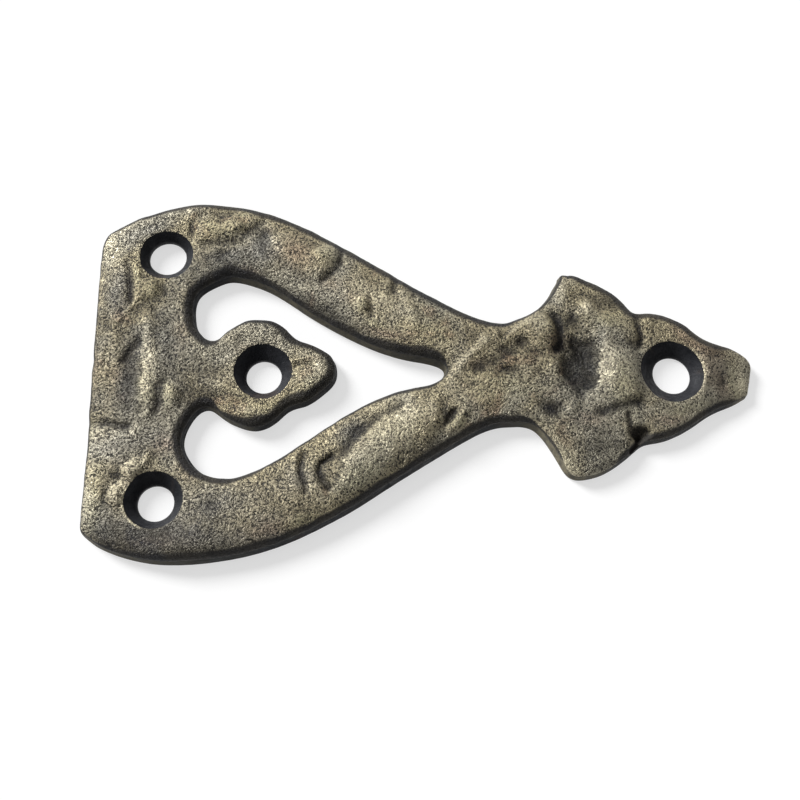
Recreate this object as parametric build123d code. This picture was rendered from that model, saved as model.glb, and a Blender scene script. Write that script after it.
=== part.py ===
from build123d import *
import math
import os

# Hinge front: the decorative cast plate that is screwed down beside a hidden hinge so that the
# door looks strap-hinged. It is one rough iron casting. It lies on its flat back: +X runs from
# the straight butt edge to the pointed tip, +Y is across the plate and +Z comes out of the
# decorated face. The origin is the bottom centre of its bounding box. Millimetres.

# ---- driving dimensions ----
LENGTH = 101.5            # butt edge to tip
WIDTH = 57.1              # across the two hips
PAD_THICK = 2.5           # plate thickness around the screw holes
ARM_RISE = 1.25           # how far the two arms stand above the pads
BOSS_RISE = 1.15          # how far the lobed boss stands above the pads
SIDE_DRAFT = 8.0          # degrees, all cast side walls
BEVEL_FROM = 1.9          # the front edges fall away at 45 degrees above this height
BEVEL_RUN = 2.4           # how far the bevels are carried inward
INSET_STEP = 1.0          # point spacing of the inset outlines
HOLE_D = 5.6              # clearance for a No. 10 (4.8 mm) wood screw
CSK_ANGLE = 90.0          # included angle of the countersinks
CSK_D = 8.8               # rim of the three countersinks in the pads
CSK_D_TIP = 9.8           # rim of the deeper countersink at the tip
PAIR_X = -40.2            # the two holes along the butt edge
PAIR_SPACING = 39.0
TONGUE_X = -24.9          # the hole in the tongue
TIP_X = 37.9              # the hole in the tip

# ---- outline of the casting at its back, anticlockwise ----
OUTLINE = [
    (-35.65, 28.59), (-39.15, 28.15), (-42.67, 27.16), (-45.98, 25.80), (-48.91, 24.04), (-50.40, 22.18),
    (-50.74, 19.34), (-50.72, 15.36), (-50.67, 11.14), (-50.59, 7.20), (-50.55, 3.45), (-50.53, -0.42),
    (-50.42, -4.31), (-50.35, -7.66), (-50.25, -11.11), (-50.28, -14.72), (-50.29, -18.59), (-50.33, -21.93),
    (-49.99, -23.98), (-48.09, -25.63), (-45.16, -27.03), (-41.62, -28.04), (-37.98, -28.54), (-34.00, -28.49),
    (-29.79, -28.03), (-25.73, -27.23), (-22.05, -26.12), (-18.25, -24.53), (-14.09, -22.47), (-10.20, -20.26),
    (-6.05, -17.59), (-1.77, -14.91), (2.70, -12.19), (6.66, -9.93), (9.76, -8.65), (12.90, -8.29),
    (15.45, -8.61), (17.24, -10.18), (19.01, -13.15), (20.53, -15.84), (22.33, -16.66), (24.89, -16.26),
    (27.72, -14.94), (30.67, -12.83), (33.06, -11.27), (35.87, -10.72), (38.98, -9.45), (42.20, -7.47),
    (45.31, -5.79), (48.02, -4.63), (49.45, -3.73), (49.83, -2.90), (50.40, -1.07), (50.76, 1.36),
    (49.63, 3.15), (47.25, 4.45), (44.01, 5.65), (41.92, 7.35), (39.55, 9.02), (36.79, 10.09),
    (34.03, 10.12), (32.34, 10.89), (30.50, 13.02), (27.88, 14.81), (24.93, 16.25), (22.98, 16.72),
    (21.66, 16.58), (21.09, 15.48), (19.96, 13.52), (17.88, 11.15), (15.49, 9.52), (12.85, 8.52),
    (10.38, 8.47), (7.32, 9.52), (3.73, 11.31), (-0.41, 13.69), (-4.49, 16.19), (-8.70, 18.83),
    (-12.89, 21.36), (-16.75, 23.60), (-20.47, 25.52), (-24.21, 27.03), (-27.94, 27.96), (-31.86, 28.49),
]

# ---- the heart-shaped window at the back, anticlockwise; the tongue stands inside it ----
WINDOW = [
    (-30.87, 15.52), (-32.99, 14.59), (-34.79, 13.27), (-35.59, 11.51), (-35.59, 9.28), (-35.11, 7.37),
    (-33.62, 5.75), (-32.42, 5.43), (-31.02, 6.53), (-29.02, 8.06), (-26.89, 8.83), (-24.60, 8.82),
    (-22.53, 8.10), (-20.74, 6.54), (-19.06, 5.26), (-16.66, 4.30), (-14.68, 2.96), (-13.90, 1.56),
    (-13.82, -0.41), (-14.78, -2.12), (-16.70, -3.83), (-18.83, -5.02), (-20.90, -5.77), (-22.68, -7.34),
    (-24.59, -8.51), (-26.59, -8.72), (-28.80, -8.03), (-30.97, -6.71), (-32.63, -5.62), (-34.11, -5.97),
    (-35.33, -7.43), (-36.19, -9.50), (-36.23, -11.51), (-35.27, -13.41), (-33.78, -15.00), (-31.67, -15.93),
    (-29.47, -16.12), (-27.03, -15.57), (-24.23, -14.31), (-21.26, -12.50), (-17.95, -10.28), (-14.62, -7.95),
    (-11.41, -5.92), (-8.28, -4.31), (-5.12, -3.02), (-2.05, -2.24), (0.51, -1.69), (2.05, -0.73),
    (2.62, 0.59), (1.56, 1.48), (-0.71, 2.10), (-3.92, 2.76), (-7.07, 3.78), (-10.25, 5.20),
    (-13.72, 7.04), (-17.02, 9.04), (-20.25, 11.29), (-23.21, 13.28), (-25.93, 14.62), (-28.68, 15.45),
]

# ---- the sculpted face: ridges (centre line, rise, half width) and bosses (x, y, rise, half widths) ----
RIDGES = [
    ([(-34.5, 23.9), (-25.6, 20.6), (-18.0, 17.8), (-11.0, 13.0), (-4.2, 8.3), (2.6, 3.9), (8.7, 1.4)], ARM_RISE, 4.6),
    ([(-36.4, -25.3), (-27.5, -23.2), (-20.5, -20.1), (-13.4, -15.9), (-6.0, -11.3), (0.0, -7.8), (6.9, -4.3)], ARM_RISE, 4.6),
    ([(8.0, 0.0), (20.2, 1.0), (27.0, 0.5)], BOSS_RISE, 7.5),
]
BOSSES = [
    (23.4, 11.0, 0.50, 3.4, 4.2),
    (21.6, -11.0, 0.50, 3.4, 4.2),
    (-14.8, 17.8, 0.35, 3.2, 2.6),
    (-7.0, -12.0, 0.30, 6.0, 3.0),
    (-43.0, 1.5, 0.35, 2.2, 6.0),
    (20.5, -4.5, -0.45, 2.6, 2.6),
    (47.5, 0.0, -0.55, 4.5, 8.0),
    (-18.5, 0.0, 0.35, 3.2, 3.6),
]
PADS = [(PAIR_X, PAIR_SPACING / 2), (PAIR_X, -PAIR_SPACING / 2), (TONGUE_X, 0.0), (TIP_X, 0.0)]
PAD_FADE = 6.2            # the relief dies out this close to a screw hole


def off_line(x, y, line):
    best = 1e9
    for (ax, ay), (bx, by) in zip(line, line[1:]):
        dx, dy = bx - ax, by - ay
        t = max(0.0, min(1.0, ((x - ax) * dx + (y - ay) * dy) / (dx * dx + dy * dy)))
        best = min(best, math.hypot(x - ax - t * dx, y - ay - t * dy))
    return best


def face_height(x, y):
    """Height of the decorated face above the back."""
    rise = 0.0
    for line, up, half in RIDGES:
        rise = max(rise, up * math.exp(-((off_line(x, y, line) / half) ** 2)))
    for bx, by, up, wx, wy in BOSSES:
        rise += up * math.exp(-(((x - bx) / wx) ** 2) - ((y - by) / wy) ** 2)
    for px, py in PADS:
        near = math.hypot(x - px, y - py) / PAD_FADE
        rise *= 1.0 - math.exp(-(near ** 4))
    return PAD_THICK + rise


def drafted(points, dist):
    """The outline moved sideways by dist, inward when positive for an anticlockwise loop."""
    n = len(points)
    out = []
    for i in range(n):
        (ax, ay), (bx, by) = points[i - 1], points[(i + 1) % n]
        dx, dy = bx - ax, by - ay
        s = math.hypot(dx, dy)
        out.append((points[i][0] - dy / s * dist, points[i][1] + dx / s * dist))
    return out


def loop_wire(points, z):
    return Wire([Edge.make_spline([Vector(x, y, z) for x, y in points], periodic=True)])


def inset(points, dist):
    """The loop moved inward by dist, without the crossings that a plain offset makes at tight corners."""
    edge = Edge.make_spline([Vector(x, y, 0) for x, y in points], periodic=True)
    dense = [edge.position_at(i / 720) for i in range(720)]
    dense = [(v.X, v.Y) for v in dense]
    moved = drafted(dense, dist)
    clear = [
        p
        for p in moved
        if min((p[0] - q[0]) ** 2 + (p[1] - q[1]) ** 2 for q in dense) > (abs(dist) - 0.03) ** 2
    ]
    kept = [clear[0]]
    for p in clear[1:]:
        if math.hypot(p[0] - kept[-1][0], p[1] - kept[-1][1]) > INSET_STEP:
            kept.append(p)
    if math.hypot(kept[-1][0] - kept[0][0], kept[-1][1] - kept[0][1]) < INSET_STEP:
        kept.pop()
    return kept


def wall(points, lower, upper):
    """A solid with the loop as its plan between two (height, inset) pairs."""
    return Solid.make_loft(
        [loop_wire(inset(points, d) if d else points, z) for z, d in (lower, upper)], True
    )


# ---- drafted body with the drafted window through it, both bevelled at the front ----
lean = math.tan(math.radians(SIDE_DRAFT))
bevel_foot = (BEVEL_FROM, BEVEL_FROM * lean)
bevel_head = (BEVEL_FROM + BEVEL_RUN, BEVEL_FROM * lean + BEVEL_RUN)
body = wall(OUTLINE, (0.0, 0.0), bevel_foot)
body += wall(OUTLINE, bevel_foot, bevel_head)
window = wall(WINDOW, (-1.0, lean), (bevel_foot[0], -bevel_foot[1]))
window += wall(WINDOW, (bevel_foot[0], -bevel_foot[1]), (bevel_head[0], -bevel_head[1]))
casting = body - window

# ---- sculpted face: everything above a smooth relief surface is cut away ----
STEP = 2.0
nx, ny = int((LENGTH + 14) / STEP) + 1, int((WIDTH + 14) / STEP) + 1
grid = [
    [
        Vector(
            -LENGTH / 2 - 7 + i * STEP,
            -WIDTH / 2 - 7 + j * STEP,
            face_height(-LENGTH / 2 - 7 + i * STEP, -WIDTH / 2 - 7 + j * STEP),
        )
        for j in range(ny)
    ]
    for i in range(nx)
]
sculpt = Face.make_surface_from_array_of_points(grid, tol=0.01, min_deg=3, max_deg=5)
over = Solid.extrude(sculpt, Vector(0, 0, 8))
casting = casting - over

# ---- four countersunk screw holes ----
for hx, hy, rim in [
    (PAIR_X, PAIR_SPACING / 2, CSK_D),
    (PAIR_X, -PAIR_SPACING / 2, CSK_D),
    (TONGUE_X, 0.0, CSK_D),
    (TIP_X, 0.0, CSK_D_TIP),
]:
    slope = math.tan(math.radians(CSK_ANGLE / 2))
    z_rim = PAD_THICK
    z_low = z_rim - (rim - HOLE_D) / 2 / slope
    z_top = z_rim + 3.0
    r_top = rim / 2 + 3.0 * slope
    drill = Pos(hx, hy, -1) * Cylinder(HOLE_D / 2, 8, align=(Align.CENTER, Align.CENTER, Align.MIN))
    sink = Pos(hx, hy, z_low) * Cone(HOLE_D / 2, r_top, z_top - z_low, align=(Align.CENTER, Align.CENTER, Align.MIN))
    casting = casting - drill - sink


os.makedirs("parts", exist_ok=True)
solids = casting.solids()
casting = solids[0] if len(solids) == 1 else max(solids, key=lambda s: s.volume)
casting.label = "hinge_front_casting"
export_step(casting, "parts/hinge_front_casting.step")
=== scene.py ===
import math

import bpy
import numpy as np
from mathutils import Matrix, Vector, kdtree
from mathutils.geometry import delaunay_2d_cdt


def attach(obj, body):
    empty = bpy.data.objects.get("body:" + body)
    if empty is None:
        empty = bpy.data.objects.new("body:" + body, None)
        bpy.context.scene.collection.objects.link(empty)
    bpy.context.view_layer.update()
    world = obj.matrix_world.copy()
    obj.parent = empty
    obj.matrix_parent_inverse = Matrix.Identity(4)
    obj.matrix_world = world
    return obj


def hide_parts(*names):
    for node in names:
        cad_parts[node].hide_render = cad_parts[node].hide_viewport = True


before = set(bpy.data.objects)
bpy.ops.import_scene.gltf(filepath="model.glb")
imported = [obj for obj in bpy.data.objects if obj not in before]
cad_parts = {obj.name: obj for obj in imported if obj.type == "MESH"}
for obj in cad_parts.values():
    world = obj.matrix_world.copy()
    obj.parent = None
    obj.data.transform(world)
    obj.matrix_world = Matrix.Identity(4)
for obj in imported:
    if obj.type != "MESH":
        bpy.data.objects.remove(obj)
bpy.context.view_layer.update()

# All the numbers below are millimetres in the row frame; the mesh is scaled to metres at the end.
OUTLINE = [
    (-35.65, 28.59), (-37.65, 28.42), (-39.54, 28.04), (-41.47, 27.56), (-43.37, 26.90), (-45.23, 26.19), (-46.99, 25.25),
    (-48.62, 24.24), (-49.84, 23.28), (-50.48, 21.96), (-50.69, 20.35), (-50.75, 18.36), (-50.71, 16.26), (-50.71, 14.21),
    (-50.68, 12.11), (-50.66, 9.91), (-50.59, 7.87), (-50.58, 5.95), (-50.58, 3.98), (-50.50, 1.98), (-50.54, -0.02),
    (-50.48, -2.09), (-50.41, -4.05), (-50.44, -5.84), (-50.35, -7.71), (-50.30, -9.59), (-50.23, -11.39), (-50.27, -13.17),
    (-50.28, -15.26), (-50.28, -17.22), (-50.31, -19.24), (-50.31, -21.04), (-50.30, -22.70), (-50.12, -23.84), (-49.27, -24.73),
    (-47.98, -25.71), (-46.36, -26.55), (-44.50, -27.27), (-42.54, -27.84), (-40.49, -28.27), (-38.46, -28.51), (-36.38, -28.57),
    (-34.14, -28.50), (-31.94, -28.31), (-29.72, -28.02), (-27.55, -27.64), (-25.47, -27.17), (-23.48, -26.60), (-21.55, -25.93),
    (-19.58, -25.13), (-17.48, -24.17), (-15.35, -23.12), (-13.23, -22.01), (-11.18, -20.86), (-9.23, -19.64), (-7.17, -18.30),
    (-5.06, -16.96), (-2.98, -15.65), (-0.85, -14.34), (1.30, -13.03), (3.45, -11.74), (5.51, -10.55), (7.40, -9.55),
    (9.16, -8.83), (10.89, -8.41), (12.77, -8.29), (14.47, -8.32), (15.81, -8.78), (16.90, -9.74), (17.89, -11.16),
    (18.91, -12.94), (19.84, -14.78), (20.69, -16.02), (21.79, -16.61), (23.18, -16.61), (24.80, -16.29), (26.44, -15.65),
    (28.09, -14.72), (29.76, -13.54), (31.31, -12.30), (32.68, -11.39), (34.22, -11.04), (35.94, -10.70), (37.70, -10.06),
    (39.49, -9.19), (41.29, -8.11), (43.11, -6.93), (44.89, -6.02), (46.79, -5.28), (48.26, -4.63), (49.28, -4.03),
    (49.69, -3.76), (49.96, -3.11), (50.38, -1.97), (50.74, -0.52), (51.01, 1.00), (50.63, 2.31), (49.70, 3.29),
    (48.35, 4.09), (46.52, 4.80), (44.58, 5.47), (43.16, 6.23), (41.93, 7.39), (40.59, 8.50), (39.00, 9.25),
    (37.40, 9.91), (35.79, 10.15), (34.16, 10.12), (32.90, 10.26), (32.07, 11.26), (30.97, 12.58), (29.63, 13.74),
    (28.05, 14.72), (26.34, 15.58), (24.75, 16.33), (23.48, 16.69), (22.36, 16.71), (21.60, 16.56), (21.48, 16.16),
    (20.90, 15.12), (20.16, 13.82), (19.23, 12.49), (17.73, 11.01), (16.37, 10.03), (14.98, 9.31), (13.42, 8.72),
    (11.95, 8.34), (10.44, 8.45), (8.74, 8.95), (6.90, 9.71), (5.01, 10.62), (3.02, 11.71), (0.92, 12.91),
    (-1.14, 14.12), (-3.16, 15.36), (-5.25, 16.66), (-7.31, 17.94), (-9.37, 19.24), (-11.41, 20.48), (-13.47, 21.71),
    (-15.44, 22.87), (-17.41, 23.98), (-19.35, 24.98), (-21.33, 25.89), (-23.32, 26.71), (-25.26, 27.35), (-27.29, 27.84),
    (-29.46, 28.24), (-31.53, 28.46), (-33.60, 28.60),
]
WINDOW = [
    (-30.87, 15.53), (-32.11, 15.05), (-33.39, 14.36), (-34.48, 13.59), (-35.23, 12.66), (-35.59, 11.52), (-35.66, 10.21),
    (-35.53, 8.85), (-35.26, 7.69), (-34.68, 6.72), (-33.57, 5.69), (-32.84, 5.40), (-32.07, 5.57), (-31.21, 6.36),
    (-30.10, 7.32), (-28.90, 8.13), (-27.67, 8.68), (-26.33, 8.88), (-24.97, 8.86), (-23.65, 8.62), (-22.46, 8.07),
    (-21.38, 7.21), (-20.39, 6.17), (-19.45, 5.40), (-18.18, 4.95), (-16.75, 4.35), (-15.49, 3.64), (-14.45, 2.72),
    (-14.04, 2.02), (-13.76, 0.80), (-13.81, -0.38), (-14.25, -1.46), (-15.09, -2.44), (-16.23, -3.45), (-17.44, -4.35),
    (-18.69, -4.97), (-19.97, -5.34), (-21.11, -5.90), (-22.13, -6.84), (-23.22, -7.78), (-24.36, -8.43), (-25.55, -8.75),
    (-26.78, -8.70), (-28.08, -8.32), (-29.42, -7.73), (-30.68, -6.94), (-31.75, -6.09), (-32.73, -5.58), (-33.69, -5.70),
    (-34.52, -6.33), (-35.25, -7.30), (-35.86, -8.50), (-36.25, -9.76), (-36.33, -10.99), (-36.01, -12.16), (-35.35, -13.30),
    (-34.52, -14.36), (-33.56, -15.16), (-32.28, -15.75), (-30.97, -16.08), (-29.66, -16.13), (-28.27, -15.93), (-26.82, -15.49),
    (-25.27, -14.82), (-23.70, -14.03), (-22.14, -13.08), (-20.47, -11.98), (-18.84, -10.89), (-17.20, -9.76), (-15.56, -8.60),
    (-13.92, -7.49), (-12.27, -6.43), (-10.67, -5.50), (-9.07, -4.68), (-7.36, -3.90), (-5.67, -3.21), (-4.02, -2.68),
    (-2.34, -2.29), (-0.68, -2.01), (0.59, -1.67), (1.48, -1.22), (2.47, -0.30), (2.69, 0.49), (2.21, 1.14),
    (1.28, 1.59), (-0.04, 1.96), (-1.70, 2.27), (-3.44, 2.64), (-5.14, 3.11), (-6.79, 3.67), (-8.43, 4.33),
    (-10.15, 5.15), (-11.97, 6.08), (-13.75, 7.05), (-15.49, 8.08), (-17.15, 9.13), (-18.80, 10.25), (-20.45, 11.44),
    (-22.05, 12.55), (-23.57, 13.49), (-25.08, 14.27), (-26.63, 14.87), (-28.20, 15.34), (-29.60, 15.61),
]
HOLES = [(-40.3, 19.28, 4.10), (-39.88, -19.52, 4.20), (-24.9, 0.0, 4.36), (37.82, -0.05, 4.92)]
BORES = [(-0.06, 0.20, 2.88), (0.04, -0.24, 2.65), (0.06, -0.37, 2.67), (0.56, -0.01, 3.00)]   # off centre by, radius
# the part of each rim painted bright, partly wear and partly painted highlight: direction, half angle, strength
LIPS = dict(zip(HOLES, [(185.0, 32.0, 0.55), (200.0, 62.0, 1.4), (160.0, 45.0, 0.9), (2.0, 62.0, 1.0)]))
PAD = 2.5
DRAFT = math.tan(math.radians(9.0))

# Cast relief: bumps "g", flat-topped bumps "p", ridges "l", broad flat-topped bands "b" and
# stretches of rim "e" that sag or stand proud.
RELIEF = [
    ("l", [(-41.80, 7.97), (-41.28, 2.31), (-41.07, -3.21)], 0.501, 1.42),
    ("l", [(-42.49, 6.49), (-42.21, 2.14), (-42.13, -1.19)], 0.059, 0.60),
    ("l", [(-41.90, -3.32), (-41.68, -6.72)], 0.275, 0.50),
    ("l", [(-41.34, 9.79), (-40.99, 6.51), (-40.68, 3.92)], -0.189, 0.61),
    ("l", [(-39.62, 4.88), (-39.43, 1.66)], 0.088, 0.63),
    ("l", [(-43.35, 4.93), (-44.43, 3.48), (-45.49, 1.88)], -0.320, 0.79),
    ("l", [(-44.66, 1.36), (-44.36, -4.91)], -0.184, 1.46), ("l", [(-40.17, -2.32), (-40.36, -6.20)], -0.199, 0.61),
    ("g", -38.05, -3.78, 0.662, 0.90, 2.02, -7), ("l", [(-37.49, -2.13), (-37.46, -5.25)], -0.112, 0.61),
    ("l", [(-47.68, 8.46), (-47.38, 6.50), (-46.67, 4.88)], 0.157, 0.45),
    ("l", [(-44.36, 11.44), (-45.45, 9.94), (-46.51, 8.12)], 0.161, 0.45), ("p", -42.87, 13.36, 0.390, 1.29, 1.51, 5),
    ("l", [(-44.68, 17.60), (-44.47, 14.54), (-44.01, 12.19)], 0.274, 0.63),
    ("l", [(-45.89, 17.82), (-45.30, 11.74)], -0.204, 0.50), ("l", [(-40.57, 14.30), (-40.02, 12.79)], -0.237, 0.62),
    ("l", [(-49.02, 1.04), (-48.47, 3.27)], 0.136, 0.46),
    ("l", [(-50.36, -8.30), (-47.50, -8.46), (-44.65, -8.32)], -0.329, 0.67),
    ("l", [(-50.27, -9.64), (-47.45, -9.35), (-45.14, -9.66)], 0.076, 0.75), ("g", -43.37, -9.52, 0.231, 0.61, 1.06, 1),
    ("g", -39.98, -11.79, -0.056, 0.91, 1.36, 30), ("p", -42.93, -14.86, 0.586, 1.27, 1.24, 8),
    ("g", -41.31, -13.75, 0.352, 0.63, 0.95, -0), ("p", -44.95, -18.76, 0.461, 1.16, 1.30, 0),
    ("g", -45.21, -16.21, -0.212, 1.20, 0.92, 1), ("l", [(-46.84, -17.47), (-46.50, -20.07)], -0.146, 0.61),
    ("g", -49.26, 19.92, -0.241, 2.26, 3.11, -3), ("g", -48.73, -20.22, 0.128, 1.41, 3.61, 1),
    ("g", -31.70, -20.91, -0.235, 1.69, 1.25, 0), ("g", -28.84, -18.51, 0.166, 0.61, 0.61, -0),
    ("g", -48.87, -2.13, 0.083, 1.54, 1.36, 0), ("l", [(-38.74, 8.49), (-37.90, 4.09), (-38.57, 0.41)], 0.025, 1.08),
    ("l", [(-48.95, 10.43), (-48.51, 6.82)], -0.147, 0.78), ("g", -41.41, -0.86, -0.138, 0.46, 0.45, -0),
    ("g", -37.90, -0.85, -0.135, 0.46, 0.45, 0), ("g", -47.58, -27.96, 0.086, 1.37, 1.37, 0),
    ("g", -36.57, 26.34, 0.281, 0.68, 1.09, 2), ("l", [(-36.74, 24.70), (-36.47, 22.41)], -0.224, 0.45),
    ("l", [(-35.34, 25.84), (-32.54, 26.23), (-30.04, 26.44)], -0.228, 0.79),
    ("b", [(-34.67, 22.73), (-32.05, 23.11), (-29.58, 23.66)], 0.321, 1.28),
    ("b", [(-29.53, 24.13), (-27.54, 25.39)], 0.247, 1.71),
    ("l", [(-34.23, 20.88), (-31.59, 20.56), (-28.83, 21.46), (-26.25, 23.78), (-25.35, 25.21)], -0.132, 0.59),
    ("g", -31.86, 18.71, -0.191, 0.92, 0.94, 0), ("g", -25.22, 21.88, -0.235, 1.09, 2.21, 0),
    ("g", -24.89, 17.29, 0.185, 0.90, 0.75, 0), ("b", [(-21.35, 20.78), (-18.51, 18.71), (-16.94, 17.34)], 0.358, 2.06),
    ("g", -22.24, 21.32, 0.209, 1.06, 1.36, 1), ("p", -15.42, 19.32, 0.482, 1.68, 1.67, -0),
    ("l", [(-13.15, 20.46), (-13.15, 18.19), (-13.93, 16.46), (-16.10, 15.07)], -0.268, 0.63),
    ("g", -18.31, 16.12, 0.199, 0.77, 0.62, 0), ("g", -17.63, 13.63, 0.064, 1.37, 1.07, -0),
    ("p", -10.08, 10.42, 0.426, 0.91, 0.96, -1), ("l", [(-8.61, 11.77), (-8.49, 9.08)], -0.201, 0.52),
    ("g", -8.04, 7.32, 0.229, 0.76, 0.76, -0), ("l", [(-6.09, 17.12), (-5.82, 14.36), (-6.01, 12.31)], 0.209, 0.62),
    ("l", [(-4.63, 15.77), (-4.53, 13.03)], -0.302, 0.62),
    ("l", [(-3.46, 14.36), (-2.75, 11.12), (-1.91, 7.27)], 0.244, 0.83), ("g", -12.55, 13.12, 0.060, 1.52, 1.53, -0),
    ("g", -11.75, 17.59, 0.072, 1.22, 0.92, -0), ("g", 2.00, 5.88, 0.153, 1.92, 1.22, -2),
    ("g", 0.20, 8.63, 0.054, 1.08, 1.08, 0), ("l", [(3.98, -1.10), (6.07, 1.49), (8.98, 4.44)], 0.289, 0.74),
    ("g", 8.78, 4.96, 0.293, 0.76, 0.75, -0), ("g", 10.68, 5.95, 0.415, 0.61, 0.77, -0),
    ("l", [(7.19, 0.42), (10.63, 1.73), (13.15, 2.71)], -0.346, 0.93), ("p", 17.38, 6.47, 1.298, 2.90, 2.80, 1),
    ("l", [(12.01, 4.66), (13.82, 6.49), (15.79, 8.01)], 0.261, 0.61), ("g", 11.75, 3.52, -0.442, 0.89, 0.75, -0),
    ("g", 14.41, 4.40, -0.561, 0.60, 0.76, -0), ("g", 12.01, 8.03, -0.192, 1.07, 0.92, -0),
    ("l", [(20.08, 8.95), (20.53, 6.60), (20.31, 3.61)], -0.706, 1.01), ("g", 24.89, 10.03, 1.048, 1.21, 1.49, 10),
    ("p", 28.92, 7.40, 0.583, 3.73, 2.05, -16), ("p", 23.91, 0.39, -1.536, 3.20, 4.69, -7),
    ("l", [(22.99, 5.10), (24.02, 2.46)], -0.437, 1.43),
    ("l", [(27.83, 4.62), (27.68, 1.31), (26.48, -1.62), (24.74, -3.87)], 0.325, 0.97),
    ("p", 30.31, -0.75, 0.808, 2.48, 3.95, 5), ("g", 22.60, 7.97, -0.365, 1.06, 1.28, 0),
    ("g", 18.90, -6.13, -0.528, 2.00, 1.41, -4), ("l", [(20.87, -6.96), (22.70, -5.06)], 0.357, 0.74),
    ("l", [(25.82, -6.73), (28.68, -5.63), (32.13, -5.00)], -0.352, 0.89), ("p", 31.70, -9.88, -1.276, 1.44, 0.95, 6),
    ("l", [(31.59, -10.72), (30.35, -12.42)], -1.250, 0.59), ("l", [(30.43, -8.85), (30.32, -6.96)], -0.380, 0.53),
    ("l", [(33.39, 8.77), (33.22, 4.07)], -0.395, 0.75), ("g", 31.75, 4.21, -0.179, 0.75, 0.75, 0),
    ("p", 3.16, -7.56, -0.406, 1.45, 0.70, 48), ("l", [(2.62, -9.62), (4.14, -8.85), (5.57, -6.83)], 0.336, 0.59),
    ("g", 25.26, -11.89, 0.148, 3.04, 1.82, -15), ("g", 21.91, 13.52, 0.423, 0.78, 2.15, 17),
    ("l", [(18.22, -9.74), (20.27, -14.36)], 0.378, 0.76), ("g", 12.14, -0.12, -0.395, 2.52, 0.80, -2),
    ("g", 18.96, -0.25, 0.114, 1.22, 1.37, 0), ("g", 8.60, -5.03, 0.311, 3.11, 1.39, 5),
    ("b", [(-11.22, -15.87), (-6.22, -11.83), (-1.43, -8.62)], 0.577, 2.71),
    ("b", [(-0.89, -7.83), (0.04, -6.89)], 0.184, 2.02),
    ("l", [(-13.46, -16.74), (-12.73, -12.56), (-10.38, -9.83), (-7.10, -7.22), (-4.09, -5.20)], -0.330, 1.16),
    ("l", [(-10.97, -12.66), (-8.30, -9.32), (-5.60, -7.16), (-2.89, -5.92)], 0.125, 0.62),
    ("l", [(0.61, -5.17), (0.65, -8.45)], 0.151, 0.60), ("l", [(2.06, -4.97), (1.99, -6.85)], -0.151, 0.61),
    ("g", -11.13, -8.99, -0.233, 1.55, 1.25, -29),
    ("l", [(-18.55, -12.94), (-18.80, -15.63), (-18.33, -18.58)], -0.352, 0.55),
    ("l", [(-19.80, -13.22), (-19.87, -17.97)], 0.134, 0.54),
    ("l", [(-14.89, -13.67), (-15.82, -14.70), (-16.03, -16.03), (-15.52, -17.36), (-14.59, -18.39)], -0.550, 0.60),
    ("g", -14.15, -15.83, 0.092, 0.76, 0.90, 0), ("l", [(-17.21, -13.24), (-17.31, -18.29)], 0.027, 0.76),
    ("g", -13.09, -17.79, 0.173, 0.92, 1.25, -0), ("g", -30.02, -22.47, -0.172, 1.40, 1.07, -0),
    ("g", -19.65, -23.21, 0.159, 0.91, 0.61, -0), ("l", [(-18.58, -20.61), (-17.71, -22.07)], -0.106, 0.46),
    ("g", -26.16, -18.22, -0.042, 1.83, 1.22, -0), ("g", -4.56, -14.22, -0.097, 1.37, 0.76, -30),
    ("g", -10.13, -16.60, -0.145, 0.76, 0.61, -0), ("g", -0.59, -3.41, 0.156, 1.53, 0.61, 0),
    ("p", -17.07, -0.54, 0.488, 2.55, 3.11, 1), ("l", [(-19.94, 0.78), (-17.55, 1.11)], -0.338, 0.46),
    ("g", -19.19, 2.43, 0.305, 0.93, 0.62, -0), ("g", -26.53, -6.44, 0.210, 2.46, 1.08, 1),
    ("g", -25.13, 6.51, 0.125, 2.73, 1.23, -0), ("g", -34.13, 0.11, -0.107, 2.75, 1.80, 3),
    ("g", -30.75, -2.66, 0.138, 1.83, 1.23, -2), ("g", -28.38, 4.93, -0.110, 1.22, 0.92, -1),
    ("g", 48.73, -1.18, -0.670, 3.01, 5.50, -7), ("l", [(47.71, 1.44), (46.89, -4.43)], 0.050, 0.75),
    ("l", [(43.15, 3.12), (43.47, -0.51), (42.03, -4.40)], 0.195, 0.76), ("g", 34.94, -6.95, 0.023, 2.44, 1.06, 10),
    ("g", 45.89, -1.89, -0.128, 0.93, 1.55, 0), ("g", 45.55, 3.07, -0.165, 1.54, 0.93, 18),
    ("e", -35.6, 28.6, 0.11, 2.6, 5.0), ("e", -42.5, 27.2, -0.11, 2.6, 5.0), ("e", -48.8, 24.2, -0.41, 2.6, 5.0),
    ("e", -50.7, 17.8, -0.35, 2.6, 5.0), ("e", -50.7, 10.8, -0.11, 2.6, 5.0), ("e", -50.6, 3.8, -0.07, 2.6, 5.0),
    ("e", -50.4, -3.3, -0.02, 2.6, 5.0), ("e", -50.3, -10.3, -0.18, 2.6, 5.0), ("e", -50.3, -17.4, -0.14, 2.6, 5.0),
    ("e", -43.7, -27.5, 0.07, 2.6, 5.0), ("e", -36.7, -28.6, -0.03, 2.6, 5.0), ("e", -29.7, -28.0, -0.06, 2.6, 5.0),
    ("e", -22.9, -26.4, -0.07, 2.6, 5.0), ("e", -10.2, -20.3, 0.04, 2.6, 5.0), ("e", -4.2, -16.4, 0.04, 2.6, 5.0),
    ("e", 7.8, -9.3, -0.03, 2.6, 5.0), ("e", 19.2, -13.5, 0.03, 2.6, 5.0), ("e", 24.6, -16.4, -0.04, 2.6, 5.0),
    ("e", 30.7, -12.8, -0.11, 2.6, 5.0), ("e", 37.1, -10.3, -0.07, 2.6, 5.0), ("e", 43.2, -6.8, -0.10, 2.6, 5.0),
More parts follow.
